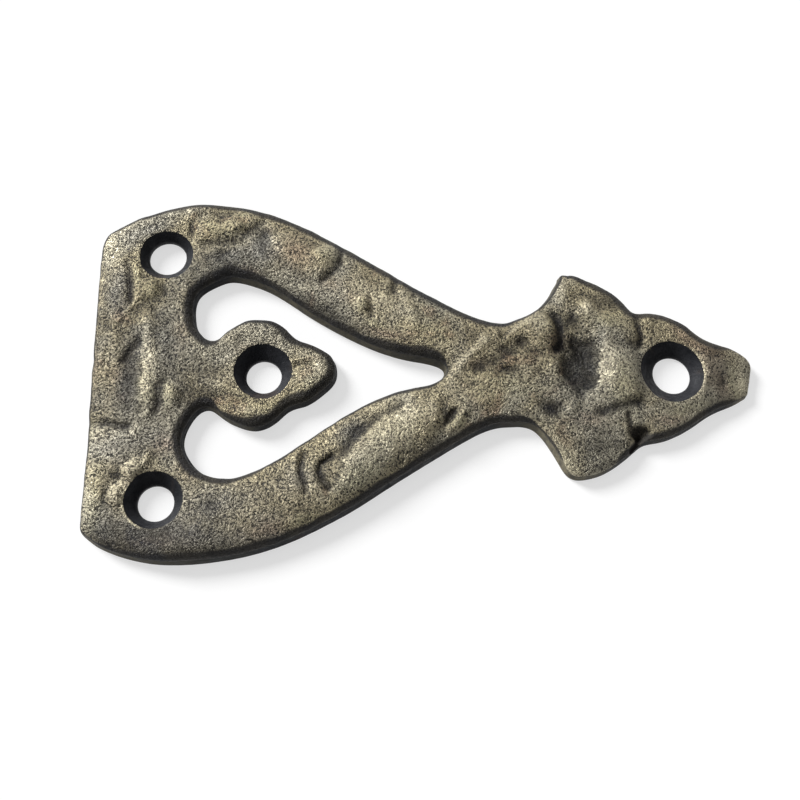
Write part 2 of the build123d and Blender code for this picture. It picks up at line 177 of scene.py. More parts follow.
    ("e", 49.5, -3.8, -0.06, 2.6, 5.0), ("e", 43.6, 5.9, 0.03, 2.6, 5.0), ("e", 37.9, 9.7, 0.04, 2.6, 5.0),
    ("e", 26.0, 15.8, 0.07, 2.6, 5.0), ("e", 20.5, 14.4, 0.08, 2.6, 5.0), ("e", 15.5, 9.5, 0.07, 2.6, 5.0),
    ("e", 8.8, 8.9, 0.04, 2.6, 5.0), ("e", 2.5, 12.0, -0.03, 2.6, 5.0), ("e", -3.6, 15.6, -0.11, 2.6, 5.0),
    ("e", -9.5, 19.3, -0.11, 2.6, 5.0), ("e", -15.5, 22.9, -0.07, 2.6, 5.0), ("e", -28.6, 28.1, 0.05, 2.6, 5.0),
    ("e", -30.9, 15.5, -0.10, 2.6, 5.0), ("e", -35.5, 12.0, -0.03, 2.6, 5.0), ("e", -34.3, 6.3, -0.02, 2.6, 5.0),
    ("e", -29.4, 7.8, -0.04, 2.6, 5.0), ("e", -21.6, -6.3, 0.04, 2.6, 5.0), ("e", -32.2, -5.8, -0.13, 2.6, 5.0),
    ("e", -34.0, -14.8, 0.06, 2.6, 5.0), ("e", -28.4, -15.9, 0.09, 2.6, 5.0), ("e", -22.8, -13.5, 0.07, 2.6, 5.0),
    ("e", -17.7, -10.1, 0.04, 2.6, 5.0), ("e", -12.7, -6.7, -0.05, 2.6, 5.0), ("e", -7.3, -3.9, -0.14, 2.6, 5.0),
    ("e", 2.2, 1.1, -0.02, 2.6, 5.0), ("e", -3.6, 2.7, -0.04, 2.6, 5.0), ("e", -9.4, 4.8, -0.08, 2.6, 5.0),
    ("e", -14.7, 7.6, -0.09, 2.6, 5.0), ("e", -19.8, 11.0, -0.03, 2.6, 5.0), ("e", -25.0, 14.2, -0.05, 2.6, 5.0),
]
# Patches of the finish: "dark" darkens it (partly patina, partly painted shade on the sides of lumps turned from the
# light) or, below 0, brightens it (partly brushed wear, partly painted highlight on the tops of lumps); "cool", "ruddy"
# and "olive" make it greyer, redder or greener.
PATCHES = [
    ("dark", -44.6, 3.4, 0.61, 1.68, -35, 0.60), ("dark", -44.7, -2.3, 1.07, 2.44, 0, 0.35),
    ("dark", -45.7, 14.8, 0.53, 2.75, 0, 0.45), ("dark", -40.4, 13.5, 0.92, 1.22, 0, 0.35),
    ("dark", -40.9, 7.3, 0.46, 2.44, 0, 0.30), ("dark", -39.3, 3.3, 0.61, 1.37, 0, 0.20),
    ("dark", -40.2, -4.3, 0.53, 1.98, 0, 0.50), ("dark", -37.4, -4.3, 0.46, 1.53, 0, 0.35),
    ("dark", -47.4, -8.4, 2.90, 0.46, 0, 0.55), ("dark", -43.7, -5.4, 1.53, 1.07, 0, 0.25),
    ("dark", -41.0, -6.8, 0.76, 1.07, 0, 0.25), ("dark", -40.3, -12.2, 0.76, 1.22, -30, 0.25),
    ("dark", -45.8, -16.0, 1.37, 0.92, 0, 0.30), ("dark", -46.7, -20.7, 0.92, 1.22, 0, 0.30),
    ("dark", -44.7, -22.4, 1.22, 0.92, 0, 0.20), ("dark", -44.2, -25.9, 4.58, 1.37, -12, 0.25),
    ("dark", -38.3, -27.5, 6.72, 0.92, -2, 0.35), ("dark", -31.7, -20.9, 1.98, 1.22, 0, 0.25),
    ("dark", -46.6, 10.4, 0.61, 1.22, 0, 0.20), ("dark", -49.6, 8.4, 0.61, 2.44, 0, 0.20),
    ("dark", -41.3, -0.7, 0.46, 0.38, 0, 0.40), ("dark", -37.9, -0.9, 0.46, 0.38, 0, 0.40),
    ("dark", -46.6, 6.2, 0.46, 0.92, 0, 0.25), ("dark", -36.6, 23.5, 0.43, 1.22, 0, 0.40),
    ("dark", -32.9, 26.4, 2.60, 0.53, 3, 0.30), ("dark", -31.4, 21.1, 3.05, 0.46, 5, 0.45),
    ("dark", -26.8, 22.9, 0.61, 1.37, -35, 0.45), ("dark", -32.0, 19.0, 1.22, 0.92, 0, 0.40),
    ("dark", -24.9, 21.8, 0.76, 2.14, 0, 0.30), ("dark", -13.2, 18.3, 0.53, 1.68, 0, 0.55),
    ("dark", -14.9, 15.5, 1.37, 0.53, 28, 0.40), ("dark", -8.5, 10.6, 0.43, 1.22, 0, 0.45),
    ("dark", -4.6, 14.4, 0.61, 1.22, 15, 0.55), ("dark", 20.0, 6.4, 0.92, 2.75, 0, 0.45),
    ("dark", 23.3, 0.4, 1.98, 2.90, 0, 0.35), ("dark", 22.2, 4.1, 3.36, 4.58, 0, 0.38),
    ("dark", 24.8, 3.1, 0.92, 1.53, 10, 0.15), ("dark", 18.7, -5.8, 1.53, 1.22, 0, 0.35),
    ("dark", 12.0, 3.2, 1.37, 0.92, 0, 0.30), ("dark", 14.3, 4.5, 0.76, 0.92, 0, 0.38),
    ("dark", 9.2, 1.4, 3.36, 1.22, 8, 0.35), ("dark", 12.2, 8.2, 1.07, 0.76, 0, 0.50),
    ("dark", 28.6, -5.7, 3.51, 0.61, 8, 0.45), ("dark", 31.8, 4.6, 0.76, 0.92, 0, 0.30),
    ("dark", 33.1, 6.4, 0.53, 2.44, 0, 0.45), ("dark", 31.6, -9.9, 1.37, 0.92, 0, 0.50),
    ("dark", 30.2, -7.9, 0.46, 1.07, 0, 0.45), ("dark", 25.3, -15.0, 3.36, 0.53, 12, 0.40),
    ("dark", 24.3, 14.2, 0.61, 1.37, 0, 0.30), ("dark", 27.0, 12.3, 1.68, 0.53, -28, 0.30),
    ("dark", 29.6, 10.8, 1.53, 0.69, -42, 0.40), ("dark", 17.1, -0.4, 0.61, 0.61, 0, 0.35),
    ("dark", 22.7, 8.1, 0.92, 1.22, 0, 0.35), ("dark", -18.8, -15.6, 0.53, 2.75, 0, 0.50),
    ("dark", -15.5, -15.6, 0.69, 1.98, 0, 0.55), ("dark", -12.3, -10.5, 0.76, 1.83, -25, 0.35),
    ("dark", -9.5, -8.6, 1.37, 0.76, 35, 0.35), ("dark", 2.5, -5.9, 0.69, 1.22, 0, 0.35),
    ("dark", 2.9, -7.5, 0.92, 1.07, -30, 0.50), ("dark", -2.8, -13.6, 1.98, 0.76, 30, 0.35),
    ("dark", 0.2, -11.8, 2.14, 0.76, 28, 0.55), ("dark", -8.7, -18.5, 3.05, 0.92, 28, 0.35),
    ("dark", -10.1, -16.4, 0.76, 0.53, 0, 0.30), ("dark", -18.9, 1.1, 1.22, 0.40, 0, 0.60),
    ("dark", -33.2, 0.1, 1.98, 0.92, 0, 0.30), ("dark", -28.4, 4.8, 1.22, 0.76, 0, 0.20),
    ("dark", -34.0, -3.2, 3.05, 0.76, 0, 0.50), ("dark", -36.3, 11.5, 0.76, 2.44, 0, 0.25),
    ("dark", 45.5, 2.9, 1.83, 0.92, -20, 0.30), ("dark", 45.9, -2.8, 0.92, 1.68, 0, 0.25),
    ("dark", 33.6, -7.8, 2.14, 0.69, -10, 0.25), ("dark", 41.5, -6.3, 3.05, 0.76, 20, 0.35),
    ("dark", -18.1, -21.3, 0.46, 0.92, 35, 0.30), ("dark", 27.4, 1.6, 0.84, 3.05, -8, -0.60),
    ("dark", 24.7, -3.6, 1.37, 0.61, 38, -0.35), ("dark", 30.2, -0.9, 1.37, 3.36, 0, -0.22),
    ("dark", 24.6, 10.4, 0.84, 1.22, -12, -0.50), ("dark", 13.8, 6.5, 1.37, 0.53, 40, -0.45),
    ("dark", 6.0, 1.9, 2.60, 0.53, 42, -0.45), ("dark", 8.8, 5.2, 0.76, 0.76, 0, -0.35),
    ("dark", 10.7, 6.2, 0.46, 0.76, 0, -0.35), ("dark", 21.5, 13.2, 0.61, 1.83, -14, -0.50),
    ("dark", 19.7, 10.4, 0.76, 0.53, 30, -0.35), ("dark", 19.9, -13.4, 0.49, 2.29, 30, -0.60),
    ("dark", 21.8, -6.0, 1.37, 1.07, 0, -0.22), ("dark", 3.9, -8.8, 1.53, 0.46, 32, -0.65),
    ("dark", -3.2, -6.6, 1.22, 1.22, 30, -0.30), ("dark", -8.0, -8.9, 1.98, 0.61, 43, -0.30),
    ("dark", 0.5, -6.9, 0.37, 1.53, 0, -0.30), ("dark", -14.3, -15.6, 0.61, 0.76, 0, -0.25),
    ("dark", -13.2, -17.7, 0.76, 1.22, 0, -0.28), ("dark", -15.7, 20.0, 0.84, 1.37, 0, -0.40),
    ("dark", -22.3, 21.5, 1.22, 1.07, 0, -0.35), ("dark", -10.9, 10.4, 0.40, 0.92, 0, -0.80),
    ("dark", -8.0, 7.3, 0.76, 0.69, 0, -0.45), ("dark", -5.8, 15.1, 0.40, 1.68, 0, -0.30),
    ("dark", -3.6, 11.7, 0.43, 1.83, 0, -0.30), ("dark", -2.3, 7.8, 0.76, 0.61, 40, -0.35),
    ("dark", -18.3, 16.2, 0.76, 0.46, 20, -0.30), ("dark", -35.2, 23.3, 0.53, 1.22, 0, -0.50),
    ("dark", -31.2, 23.7, 2.75, 0.61, 4, -0.22), ("dark", -27.7, 25.7, 1.22, 0.76, 0, -0.35),
    ("dark", -36.8, 26.5, 0.43, 0.92, 0, -0.40), ("dark", -48.3, 20.1, 1.37, 2.14, 0, -0.35),
    ("dark", -44.6, 15.5, 0.34, 2.14, 0, -0.45), ("dark", -42.5, 13.1, 0.92, 1.37, 0, -0.22),
    ("dark", -42.1, 0.4, 0.76, 4.27, 0, -0.30), ("dark", -42.4, -3.2, 0.53, 2.14, 0, -0.35),
    ("dark", -38.9, -3.5, 0.55, 1.53, 0, -0.60), ("dark", -43.2, -14.7, 0.76, 1.07, 0, -0.60),
    ("dark", -41.4, -13.7, 0.43, 0.92, 0, -0.30), ("dark", -45.6, -18.8, 0.76, 1.22, 0, -0.45),
    ("dark", -43.5, -9.2, 0.61, 0.92, 0, -0.40), ("dark", -48.0, -9.5, 1.98, 0.53, 0, -0.35),
    ("dark", -49.0, -18.8, 0.76, 4.27, 0, -0.35), ("dark", -29.0, -18.5, 0.61, 0.61, 0, -0.30),
    ("dark", -17.5, -2.4, 1.83, 1.83, 0, -0.28), ("dark", -19.0, 2.7, 0.76, 0.40, 0, -0.50),
    ("dark", -27.1, -6.2, 1.68, 0.76, -20, -0.25), ("dark", -19.8, -23.2, 0.92, 0.53, 0, -0.50),
    ("dark", 48.2, -2.7, 1.07, 2.44, 0, -0.40), ("dark", -47.2, 7.8, 0.46, 1.07, 0, -0.25),
    ("dark", -48.5, 2.1, 0.61, 0.76, -30, -0.30), ("dark", 17.3, 7.4, 1.22, 1.22, 0, -0.20),
    ("dark", 13.8, -3.9, 6.11, 2.14, 0, -0.12), ("dark", -6.0, -10.9, 3.97, 1.83, 30, -0.15),
    ("dark", -46.2, 24.8, 2.44, 0.61, 25, -0.15), ("dark", 19.5, -0.5, 0.92, 0.92, 0, -0.20),
    ("cool", -44.7, -2.1, 1.37, 3.05, 0, 0.80), ("cool", -47.1, -11.6, 3.36, 2.14, 0, 0.60),
    ("cool", -25.5, 21.1, 1.37, 2.44, 0, 0.70), ("cool", -29.6, 19.0, 3.36, 1.07, 0, 0.50),
    ("cool", -11.5, -9.6, 2.29, 1.37, 35, 0.70), ("cool", -30.8, -26.1, 9.16, 1.53, 5, 0.40),
    ("cool", -39.9, -24.1, 6.72, 1.83, 0, 0.50), ("cool", -47.5, 13.4, 1.53, 3.97, 0, 0.70),
    ("cool", 23.3, 0.4, 2.14, 3.36, 0, 0.60), ("cool", -39.7, -10.4, 3.36, 1.22, 0, 0.30),
    ("cool", -44.5, 23.0, 4.27, 1.22, 18, 0.40), ("cool", 27.3, 3.1, 0.76, 3.05, 0, 0.50),
    ("cool", -29.7, -19.7, 4.58, 2.14, 0, 0.40), ("cool", 21.2, 13.5, 0.76, 2.14, -10, 0.50),
    ("cool", -19.1, -16.8, 3.05, 2.14, 0, 0.40), ("cool", -29.0, -0.2, 1.83, 1.83, 0, 0.30),
    ("cool", -39.6, 4.9, 0.92, 3.05, 0, 0.30), ("cool", -48.4, -4.6, 1.83, 1.83, 0, 0.30),
    ("ruddy", -20.0, 19.1, 2.60, 2.14, -22, 0.80), ("ruddy", -22.9, -24.0, 3.05, 1.22, 15, 0.80),
    ("ruddy", -38.5, -11.3, 1.68, 1.22, 0, 0.70), ("ruddy", 42.8, 4.1, 3.36, 1.22, -25, 0.80),
    ("ruddy", 45.7, -1.5, 1.37, 2.14, 0, 0.50), ("ruddy", -6.0, 5.6, 3.05, 0.61, -12, 0.80),
    ("ruddy", -49.7, 0.7, 0.76, 1.83, 0, 0.50), ("ruddy", -37.1, 6.5, 1.07, 2.29, 0, 0.40),
    ("ruddy", -10.8, 11.8, 1.83, 0.76, -10, 0.50), ("ruddy", -39.5, -25.7, 3.36, 0.92, 0, 0.50),
    ("ruddy", 19.4, 4.2, 0.76, 1.53, 0, 0.60), ("ruddy", 24.4, -7.9, 1.83, 1.07, 0, 0.50),
    ("ruddy", 36.7, -7.8, 2.44, 0.76, 12, 0.70), ("ruddy", 39.9, 6.3, 1.53, 0.92, -30, 0.60),
    ("ruddy", -35.4, -15.2, 1.22, 1.53, 0, 0.40), ("ruddy", -46.6, -0.2, 1.22, 1.53, 0, 0.40),
    ("ruddy", -14.9, 14.1, 1.53, 0.92, 0, 0.40), ("ruddy", 20.2, -11.0, 1.22, 1.53, 0, 0.40),
    ("ruddy", 7.6, 0.8, 1.83, 0.76, 0, 0.50), ("ruddy", -26.8, 3.6, 2.14, 0.76, 0, 0.30),
    ("dark", -37.8, -24.7, 7.02, 2.29, 0, 0.25), ("dark", -40.0, -22.4, 1.22, 1.22, 0, 0.20),
    ("dark", -30.1, 17.6, 5.19, 1.37, 6, 0.30), ("dark", -35.9, 11.5, 1.07, 3.97, 0, 0.22),
    ("dark", -50.0, 2.9, 1.07, 7.02, -4, 0.25), ("dark", 25.3, -11.3, 3.97, 2.14, 15, 0.18),
    ("dark", 29.1, -0.2, 2.14, 3.97, 0, -0.22), ("dark", 48.8, -2.2, 1.07, 3.05, 0, -0.40),
    ("dark", -42.1, 0.9, 0.92, 6.11, 0, -0.18), ("dark", -48.5, -10.2, 2.14, 1.37, 0, -0.28),
    ("dark", -5.7, -10.6, 5.80, 2.14, 38, -0.22), ("dark", -6.5, 11.6, 4.58, 2.75, -28, -0.20),
    ("dark", -19.6, 18.8, 3.97, 2.14, -22, -0.10), ("dark", 0.5, 7.0, 3.05, 1.83, -25, -0.08),
    ("dark", -49.2, 19.9, 1.83, 3.97, 0, -0.15), ("dark", -34.1, 14.5, 2.14, 1.83, 0, 0.25),
    ("dark", -30.3, -3.9, 3.97, 1.07, -15, 0.25), ("dark", -25.3, -8.7, 3.05, 0.76, 0, 0.20),
    ("dark", -38.5, -0.2, 1.83, 3.05, 0, 0.10), ("dark", 19.2, -12.8, 0.92, 2.75, 32, -0.35),
    ("dark", -32.4, 21.8, 7.63, 1.53, 0, -0.04), ("dark", -24.4, -19.7, 4.58, 1.53, 8, 0.10),
    ("dark", -43.8, -19.5, 0.61, 2.44, 0, -0.35), ("dark", -42.5, -22.4, 1.22, 0.76, -35, -0.25),
    ("dark", -47.6, -14.9, 2.14, 1.53, 0, -0.12), ("dark", -16.4, 6.6, 2.44, 0.92, -30, 0.20),
    ("dark", -21.0, 11.6, 4.58, 0.92, -25, 0.22), ("dark", 6.1, -4.7, 3.97, 1.22, 0, -0.10),
    ("dark", 16.8, -4.7, 1.53, 1.53, 0, 0.12), ("dark", 35.8, 6.8, 1.83, 1.22, 0, -0.12),
    ("dark", 41.9, -0.9, 1.37, 3.05, 0, -0.12), ("dark", 35.0, -6.6, 2.75, 0.92, 8, -0.12),
    ("dark", -27.7, -15.3, 2.14, 0.92, 10, 0.10), ("dark", -45.1, -25.2, 2.14, 1.53, -20, 0.15),
    ("dark", -49.0, -24.5, 0.92, 1.22, 0, -0.20), ("dark", -46.1, -12.5, 3.97, 3.97, 0, -0.28),
    ("dark", -47.5, -19.5, 2.14, 4.58, 0, -0.12), ("dark", -48.7, 21.6, 2.14, 1.83, 0, -0.25),
    ("dark", 0.0, -8.4, 1.53, 2.44, 0, -0.12), ("dark", -5.0, -7.0, 2.75, 1.22, 30, -0.25),
    ("dark", 16.8, 6.7, 2.14, 2.14, 0, -0.15), ("dark", -15.6, -0.2, 1.53, 3.05, 0, -0.15),
    ("dark", -38.7, 3.3, 1.53, 3.97, 0, -0.10), ("dark", 7.7, -3.1, 6.11, 2.14, 0, -0.12),
    ("dark", 32.6, 0.1, 1.53, 3.66, 0, -0.12), ("dark", 25.3, -11.9, 3.97, 2.14, 15, 0.12),
    ("dark", 21.1, 11.8, 1.53, 3.05, -15, -0.20), ("dark", -34.4, -22.5, 6.11, 2.75, 0, 0.12),
    ("dark", -42.8, 19.9, 6.11, 9.16, 0, 0.06), ("dark", 33.1, 5.1, 1.53, 3.36, 0, 0.12),
    ("dark", 27.1, 1.4, 1.22, 3.36, -8, -0.25), ("dark", 33.3, -4.7, 3.05, 1.53, 0, 0.15),
    ("dark", 41.0, 5.1, 3.97, 1.53, -28, 0.22), ("dark", -19.0, -19.7, 4.58, 1.83, 15, 0.10),
    ("dark", -39.9, -24.1, 10.99, 4.12, 0, 0.26), ("dark", -31.0, 17.3, 6.72, 3.05, 4, 0.22),
    ("dark", -50.2, 1.3, 1.22, 9.47, -4, 0.22), ("dark", 5.7, 1.6, 2.90, 0.61, 42, -0.40),
    ("dark", 17.1, 7.4, 1.83, 1.68, 0, -0.30), ("dark", 24.8, 10.4, 1.07, 1.37, -12, -0.40),
    ("dark", 27.3, 1.4, 0.92, 3.36, -8, -0.45), ("dark", -2.6, -7.2, 3.05, 1.83, 30, -0.30),
    ("dark", -5.6, -9.3, 3.97, 1.22, 40, -0.30), ("dark", -15.4, 0.4, 1.22, 2.44, 0, -0.30),
    ("dark", -20.4, -5.9, 3.97, 1.07, 18, -0.30), ("dark", -25.7, -6.7, 2.44, 0.92, -12, -0.25),
    ("dark", -44.8, -17.5, 1.07, 3.05, -20, -0.40), ("dark", -43.1, -21.7, 0.76, 1.53, -35, -0.35),
    ("dark", -47.9, -10.7, 3.05, 1.37, 0, -0.20), ("dark", 19.8, -12.8, 0.61, 3.05, 32, -0.50),
    ("dark", 48.6, -2.2, 1.07, 2.75, 0, -0.40), ("dark", 10.8, -2.3, 6.11, 1.83, 0, -0.15),
    ("dark", 20.2, -0.2, 1.22, 1.53, 0, -0.15), ("dark", 21.2, 13.2, 0.92, 2.44, -15, -0.35),
    ("dark", 25.6, -11.9, 3.66, 1.98, 15, 0.10), ("dark", 2.9, 10.3, 3.66, 0.92, -22, 0.25),
    ("dark", 28.4, 11.8, 2.14, 0.76, -38, 0.25), ("dark", -12.4, 9.9, 6.11, 0.92, -32, 0.20),
    ("dark", -35.0, -10.7, 0.92, 4.58, 0, 0.15), ("dark", -12.5, 11.6, 4.58, 1.22, -32, -0.10),
    ("dark", 0.5, 8.3, 3.05, 2.14, -20, -0.12), ("dark", 19.4, 12.3, 0.53, 2.29, -28, 0.85),
    ("dark", 29.3, 11.3, 2.60, 0.61, -42, 0.60), ("dark", 31.5, 9.6, 1.07, 0.76, -30, 0.45),
    ("dark", 21.7, 13.5, 0.61, 1.98, -14, -0.35), ("dark", -37.2, -23.9, 9.16, 2.75, 0, 0.12),
    ("dark", 19.4, 6.7, 1.07, 2.14, 0, 0.20), ("dark", 20.7, 3.4, 1.37, 1.37, 0, 0.20),
    ("dark", 24.7, -1.2, 0.92, 1.37, -15, 0.22), ("dark", 18.6, -6.0, 1.22, 0.92, 0, 0.18),
    ("cool", -40.0, -22.4, 9.16, 3.97, 0, 0.40), ("cool", -47.1, -11.6, 3.66, 2.44, 0, 0.30),
    ("dark", 17.7, 8.7, 1.37, 0.92, 0, -0.20), ("dark", 13.1, 6.2, 1.37, 0.61, 40, -0.30),
    ("dark", 7.7, 3.4, 1.53, 0.46, 42, -0.30), ("dark", -16.1, 8.9, 6.41, 0.92, -33, 0.50),
    ("dark", 31.9, -6.6, 7.63, 2.44, 5, 0.12), ("dark", 44.8, -0.2, 3.97, 4.58, 0, 0.12),
    ("dark", -43.2, -14.7, 1.07, 1.22, 0, -0.35), ("dark", -45.4, -18.7, 0.92, 1.22, 0, -0.40),
    ("dark", -43.4, -17.2, 0.76, 1.53, -25, -0.30), ("olive", 48.1, -2.5, 1.22, 2.75, 5, 0.90),
    ("olive", 11.6, -2.8, 3.97, 1.83, 0, 0.60), ("olive", 29.6, -2.2, 1.83, 3.05, 0, 0.80),
    ("olive", -5.2, -9.3, 3.66, 1.83, 35, 0.60), ("olive", -38.8, -3.7, 0.76, 1.83, 0, 0.80),
    ("olive", -42.2, -2.7, 1.07, 2.44, 0, 0.70), ("olive", -15.5, 19.3, 1.22, 1.53, 0, 0.70),
    ("olive", -10.1, 10.8, 0.92, 1.07, 0, 0.80), ("olive", -8.0, 7.3, 1.22, 0.92, 0, 0.60),
    ("olive", -42.3, 13.1, 1.37, 1.53, 0, 0.60), ("olive", -32.9, 23.2, 3.36, 1.22, 0, 0.50),
    ("olive", -27.8, 25.7, 1.22, 1.07, 0, 0.60), ("olive", 28.7, 8.4, 3.05, 1.53, 0, 0.60),
    ("olive", 17.6, 7.5, 1.83, 1.37, 0, 0.40), ("olive", -17.8, -2.3, 2.14, 2.14, 0, 0.60),
    ("olive", -23.9, -5.9, 3.05, 1.22, 8, 0.50), ("olive", -10.4, -16.9, 3.66, 1.83, 30, 0.60),
    ("olive", -19.0, -22.9, 2.44, 0.92, 12, 0.80), ("olive", 0.5, 6.6, 3.05, 2.14, -20, 0.40),
    ("olive", 20.0, -14.0, 0.76, 2.14, 32, 0.90), ("olive", -48.3, -19.5, 1.07, 5.19, 0, 0.50),
    ("olive", -49.7, -9.5, 0.76, 2.44, 0, 0.50), ("olive", -44.6, 15.5, 0.61, 2.14, 0, 0.60),
    ("olive", 39.7, -6.0, 3.05, 1.22, 15, 0.50), ("olive", 4.2, -8.4, 1.37, 0.61, 32, 0.80),
    ("olive", -48.6, 20.6, 1.53, 2.14, 0, 0.40), ("ruddy", 43.0, 0.8, 2.14, 2.75, 0, 0.50),
    ("ruddy", 46.3, -3.1, 1.22, 1.53, 0, 0.40), ("dark", -14.4, 9.6, 6.11, 0.92, -30, 0.35),
    ("dark", -39.9, -24.1, 9.16, 1.22, -5, 0.25), ("dark", 25.3, -11.9, 3.36, 1.53, 15, 0.35),
    ("dark", -24.9, 20.8, 0.92, 2.14, 0, 0.40), ("dark", -36.4, -4.9, 1.22, 1.07, 0, 0.30),
    ("dark", -49.5, -5.4, 1.07, 2.14, 0, 0.30), ("dark", 7.9, 7.8, 2.44, 0.92, -20, 0.25),
    ("dark", 36.3, -6.0, 2.44, 1.22, 10, 0.35), ("dark", -8.4, 11.6, 3.36, 1.37, -30, -0.35),
    ("dark", -6.2, -4.7, 3.97, 1.07, 25, -0.45), ("dark", -22.2, -5.4, 3.36, 0.92, 20, -0.35),
    ("dark", -15.3, -0.2, 0.92, 2.44, 0, -0.35), ("dark", 23.4, 14.9, 1.22, 0.92, 0, -0.40),
    ("dark", 21.2, -15.9, 1.83, 0.92, 0, -0.50), ("dark", -41.1, 2.6, 0.76, 2.75, 0, -0.40),
    ("dark", -49.4, 22.3, 1.22, 1.53, 0, -0.30), ("dark", -44.9, -17.8, 1.22, 1.53, 0, -0.35),
    ("dark", -44.8, 1.0, 0.92, 2.75, 0, 0.30), ("dark", -19.5, 13.9, 2.14, 1.07, -25, -0.20),
    ("dark", -17.5, 0.4, 1.53, 3.66, 0, -0.25), ("dark", -28.0, -6.5, 2.44, 1.22, 0, -0.20),
    ("dark", -4.5, -10.9, 4.58, 1.83, 35, -0.15), ("dark", -27.6, 26.8, 4.58, 1.22, -8, -0.12),
    ("dark", -32.5, -19.6, 3.05, 1.83, 0, 0.12), ("dark", -44.9, -12.2, 2.44, 1.22, 0, -0.10),
    ("dark", 25.8, 10.1, 1.37, 1.37, 0, -0.45), ("dark", 17.8, 7.5, 1.98, 1.53, 0, -0.40),
    ("dark", 22.3, 15.1, 1.22, 1.22, 0, -0.30), ("dark", 27.6, 0.1, 1.37, 3.05, 0, -0.40),
    ("dark", 31.3, -3.4, 1.83, 1.22, 0, -0.25), ("dark", 20.5, -5.8, 0.92, 0.92, 0, -0.35),
    ("dark", 5.0, 1.4, 1.53, 0.61, 40, -0.35), ("dark", 9.7, 5.3, 1.37, 0.92, 0, -0.30),
    ("dark", 13.2, -6.0, 2.44, 1.53, 0, -0.12), ("dark", 20.7, 6.7, 0.76, 2.29, 0, 0.40),
    ("dark", 25.0, -0.9, 0.92, 2.14, 0, 0.22), ("dark", 18.2, -5.8, 1.37, 1.07, 0, 0.30),
    ("dark", 33.6, 8.4, 0.61, 1.83, 0, 0.30), ("dark", 13.8, 4.2, 1.22, 0.92, 0, 0.25),
    ("dark", 11.7, 0.1, 2.75, 1.07, 0, 0.14), ("dark", 25.4, -7.4, 3.36, 0.61, 12, 0.20),
    ("dark", 28.5, -10.4, 2.75, 1.53, 20, 0.15), ("dark", 48.5, -0.9, 1.22, 3.05, 0, -0.35),
    ("dark", 45.3, -1.5, 2.14, 3.97, 0, 0.28), ("dark", 42.4, 3.1, 2.14, 1.22, -30, 0.18),
    ("dark", 39.8, -4.7, 2.44, 1.53, 20, 0.15), ("dark", 16.0, 2.4, 1.53, 0.92, 0, 0.15),
    ("dark", 19.3, -13.7, 0.76, 2.44, 30, -0.35), ("dark", 8.1, -8.5, 3.66, 1.07, 8, 0.22),
    ("dark", -15.5, 19.5, 1.37, 1.37, 0, -0.30), ("dark", -13.2, 18.1, 0.61, 1.83, -10, 0.25),
    ("dark", -41.9, -0.2, 0.76, 3.66, 0, -0.22), ("dark", -38.6, -4.0, 0.76, 1.68, 0, -0.30),
    ("dark", -37.2, -3.7, 0.61, 1.53, 0, 0.20), ("dark", 8.7, 4.5, 1.07, 0.76, 20, -0.30),
    ("dark", 15.7, 7.7, 1.22, 0.76, 0, -0.25), ("dark", 11.1, 6.3, 0.76, 0.76, 0, 0.22),
    ("dark", 7.4, 5.5, 0.92, 0.61, 30, 0.18), ("dark", 9.4, -0.1, 2.14, 0.92, 0, 0.15),
    ("dark", 19.8, 3.4, 1.07, 1.53, 0, 0.15), ("dark", -17.5, -0.5, 3.05, 3.97, 0, -0.14),
    ("dark", -41.6, 1.7, 0.92, 3.97, 0, -0.14), ("dark", -30.3, -4.6, 2.14, 1.07, 0, -0.10),
    ("dark", -47.0, -25.2, 3.97, 1.22, -15, 0.12), ("dark", 3.8, -7.0, 0.76, 1.07, 40, 0.15),
    ("dark", 4.2, -8.4, 0.61, 1.37, -45, -0.35), ("dark", -39.5, 16.9, 1.83, 0.92, 0, 0.25),
    ("dark", -39.8, -26.0, 6.11, 0.92, -3, 0.15), ("dark", 8.2, 5.7, 6.11, 2.14, -10, 0.06),
    ("dark", 44.4, -0.7, 3.97, 4.58, 0, 0.12), ("dark", -43.9, -25.9, 7.63, 1.22, -8, 0.10),
    ("dark", -9.5, 12.3, 5.19, 1.68, -30, -0.22), ("dark", -48.6, -22.6, 1.22, 3.97, 0, -0.30),
    ("dark", -42.2, -15.5, 1.37, 0.92, -40, -0.40), ("dark", -40.5, -10.7, 1.53, 2.14, 0, -0.22),
    ("dark", -16.1, 10.1, 6.72, 0.76, -31, 0.40), ("dark", 35.5, -4.4, 1.53, 1.53, 0, 0.20),
    ("dark", -5.6, -5.3, 3.36, 1.07, 27, -0.30), ("dark", 12.0, 3.0, 1.53, 1.22, 0, -0.12),
    ("dark", -35.9, -5.2, 1.22, 0.92, 0, 0.20), ("dark", -48.4, 24.2, 2.44, 1.83, 20, -0.15),
]
ARMS = [
    ([(-34.5, 23.9), (-25.6, 20.6), (-18.0, 17.8), (-11.0, 13.0), (-4.2, 8.3), (2.6, 3.9), (8.7, 1.4)], 1.10, 5.2),
    ([(-36.4, -25.3), (-27.5, -23.2), (-20.5, -20.1), (-13.4, -15.9), (-6.0, -11.3), (0.0, -7.8), (6.9, -4.3)], 1.10, 5.2),
    ([(8.0, 0.0), (20.2, 0.6), (27.0, 0.3)], 1.05, 9.0),
]


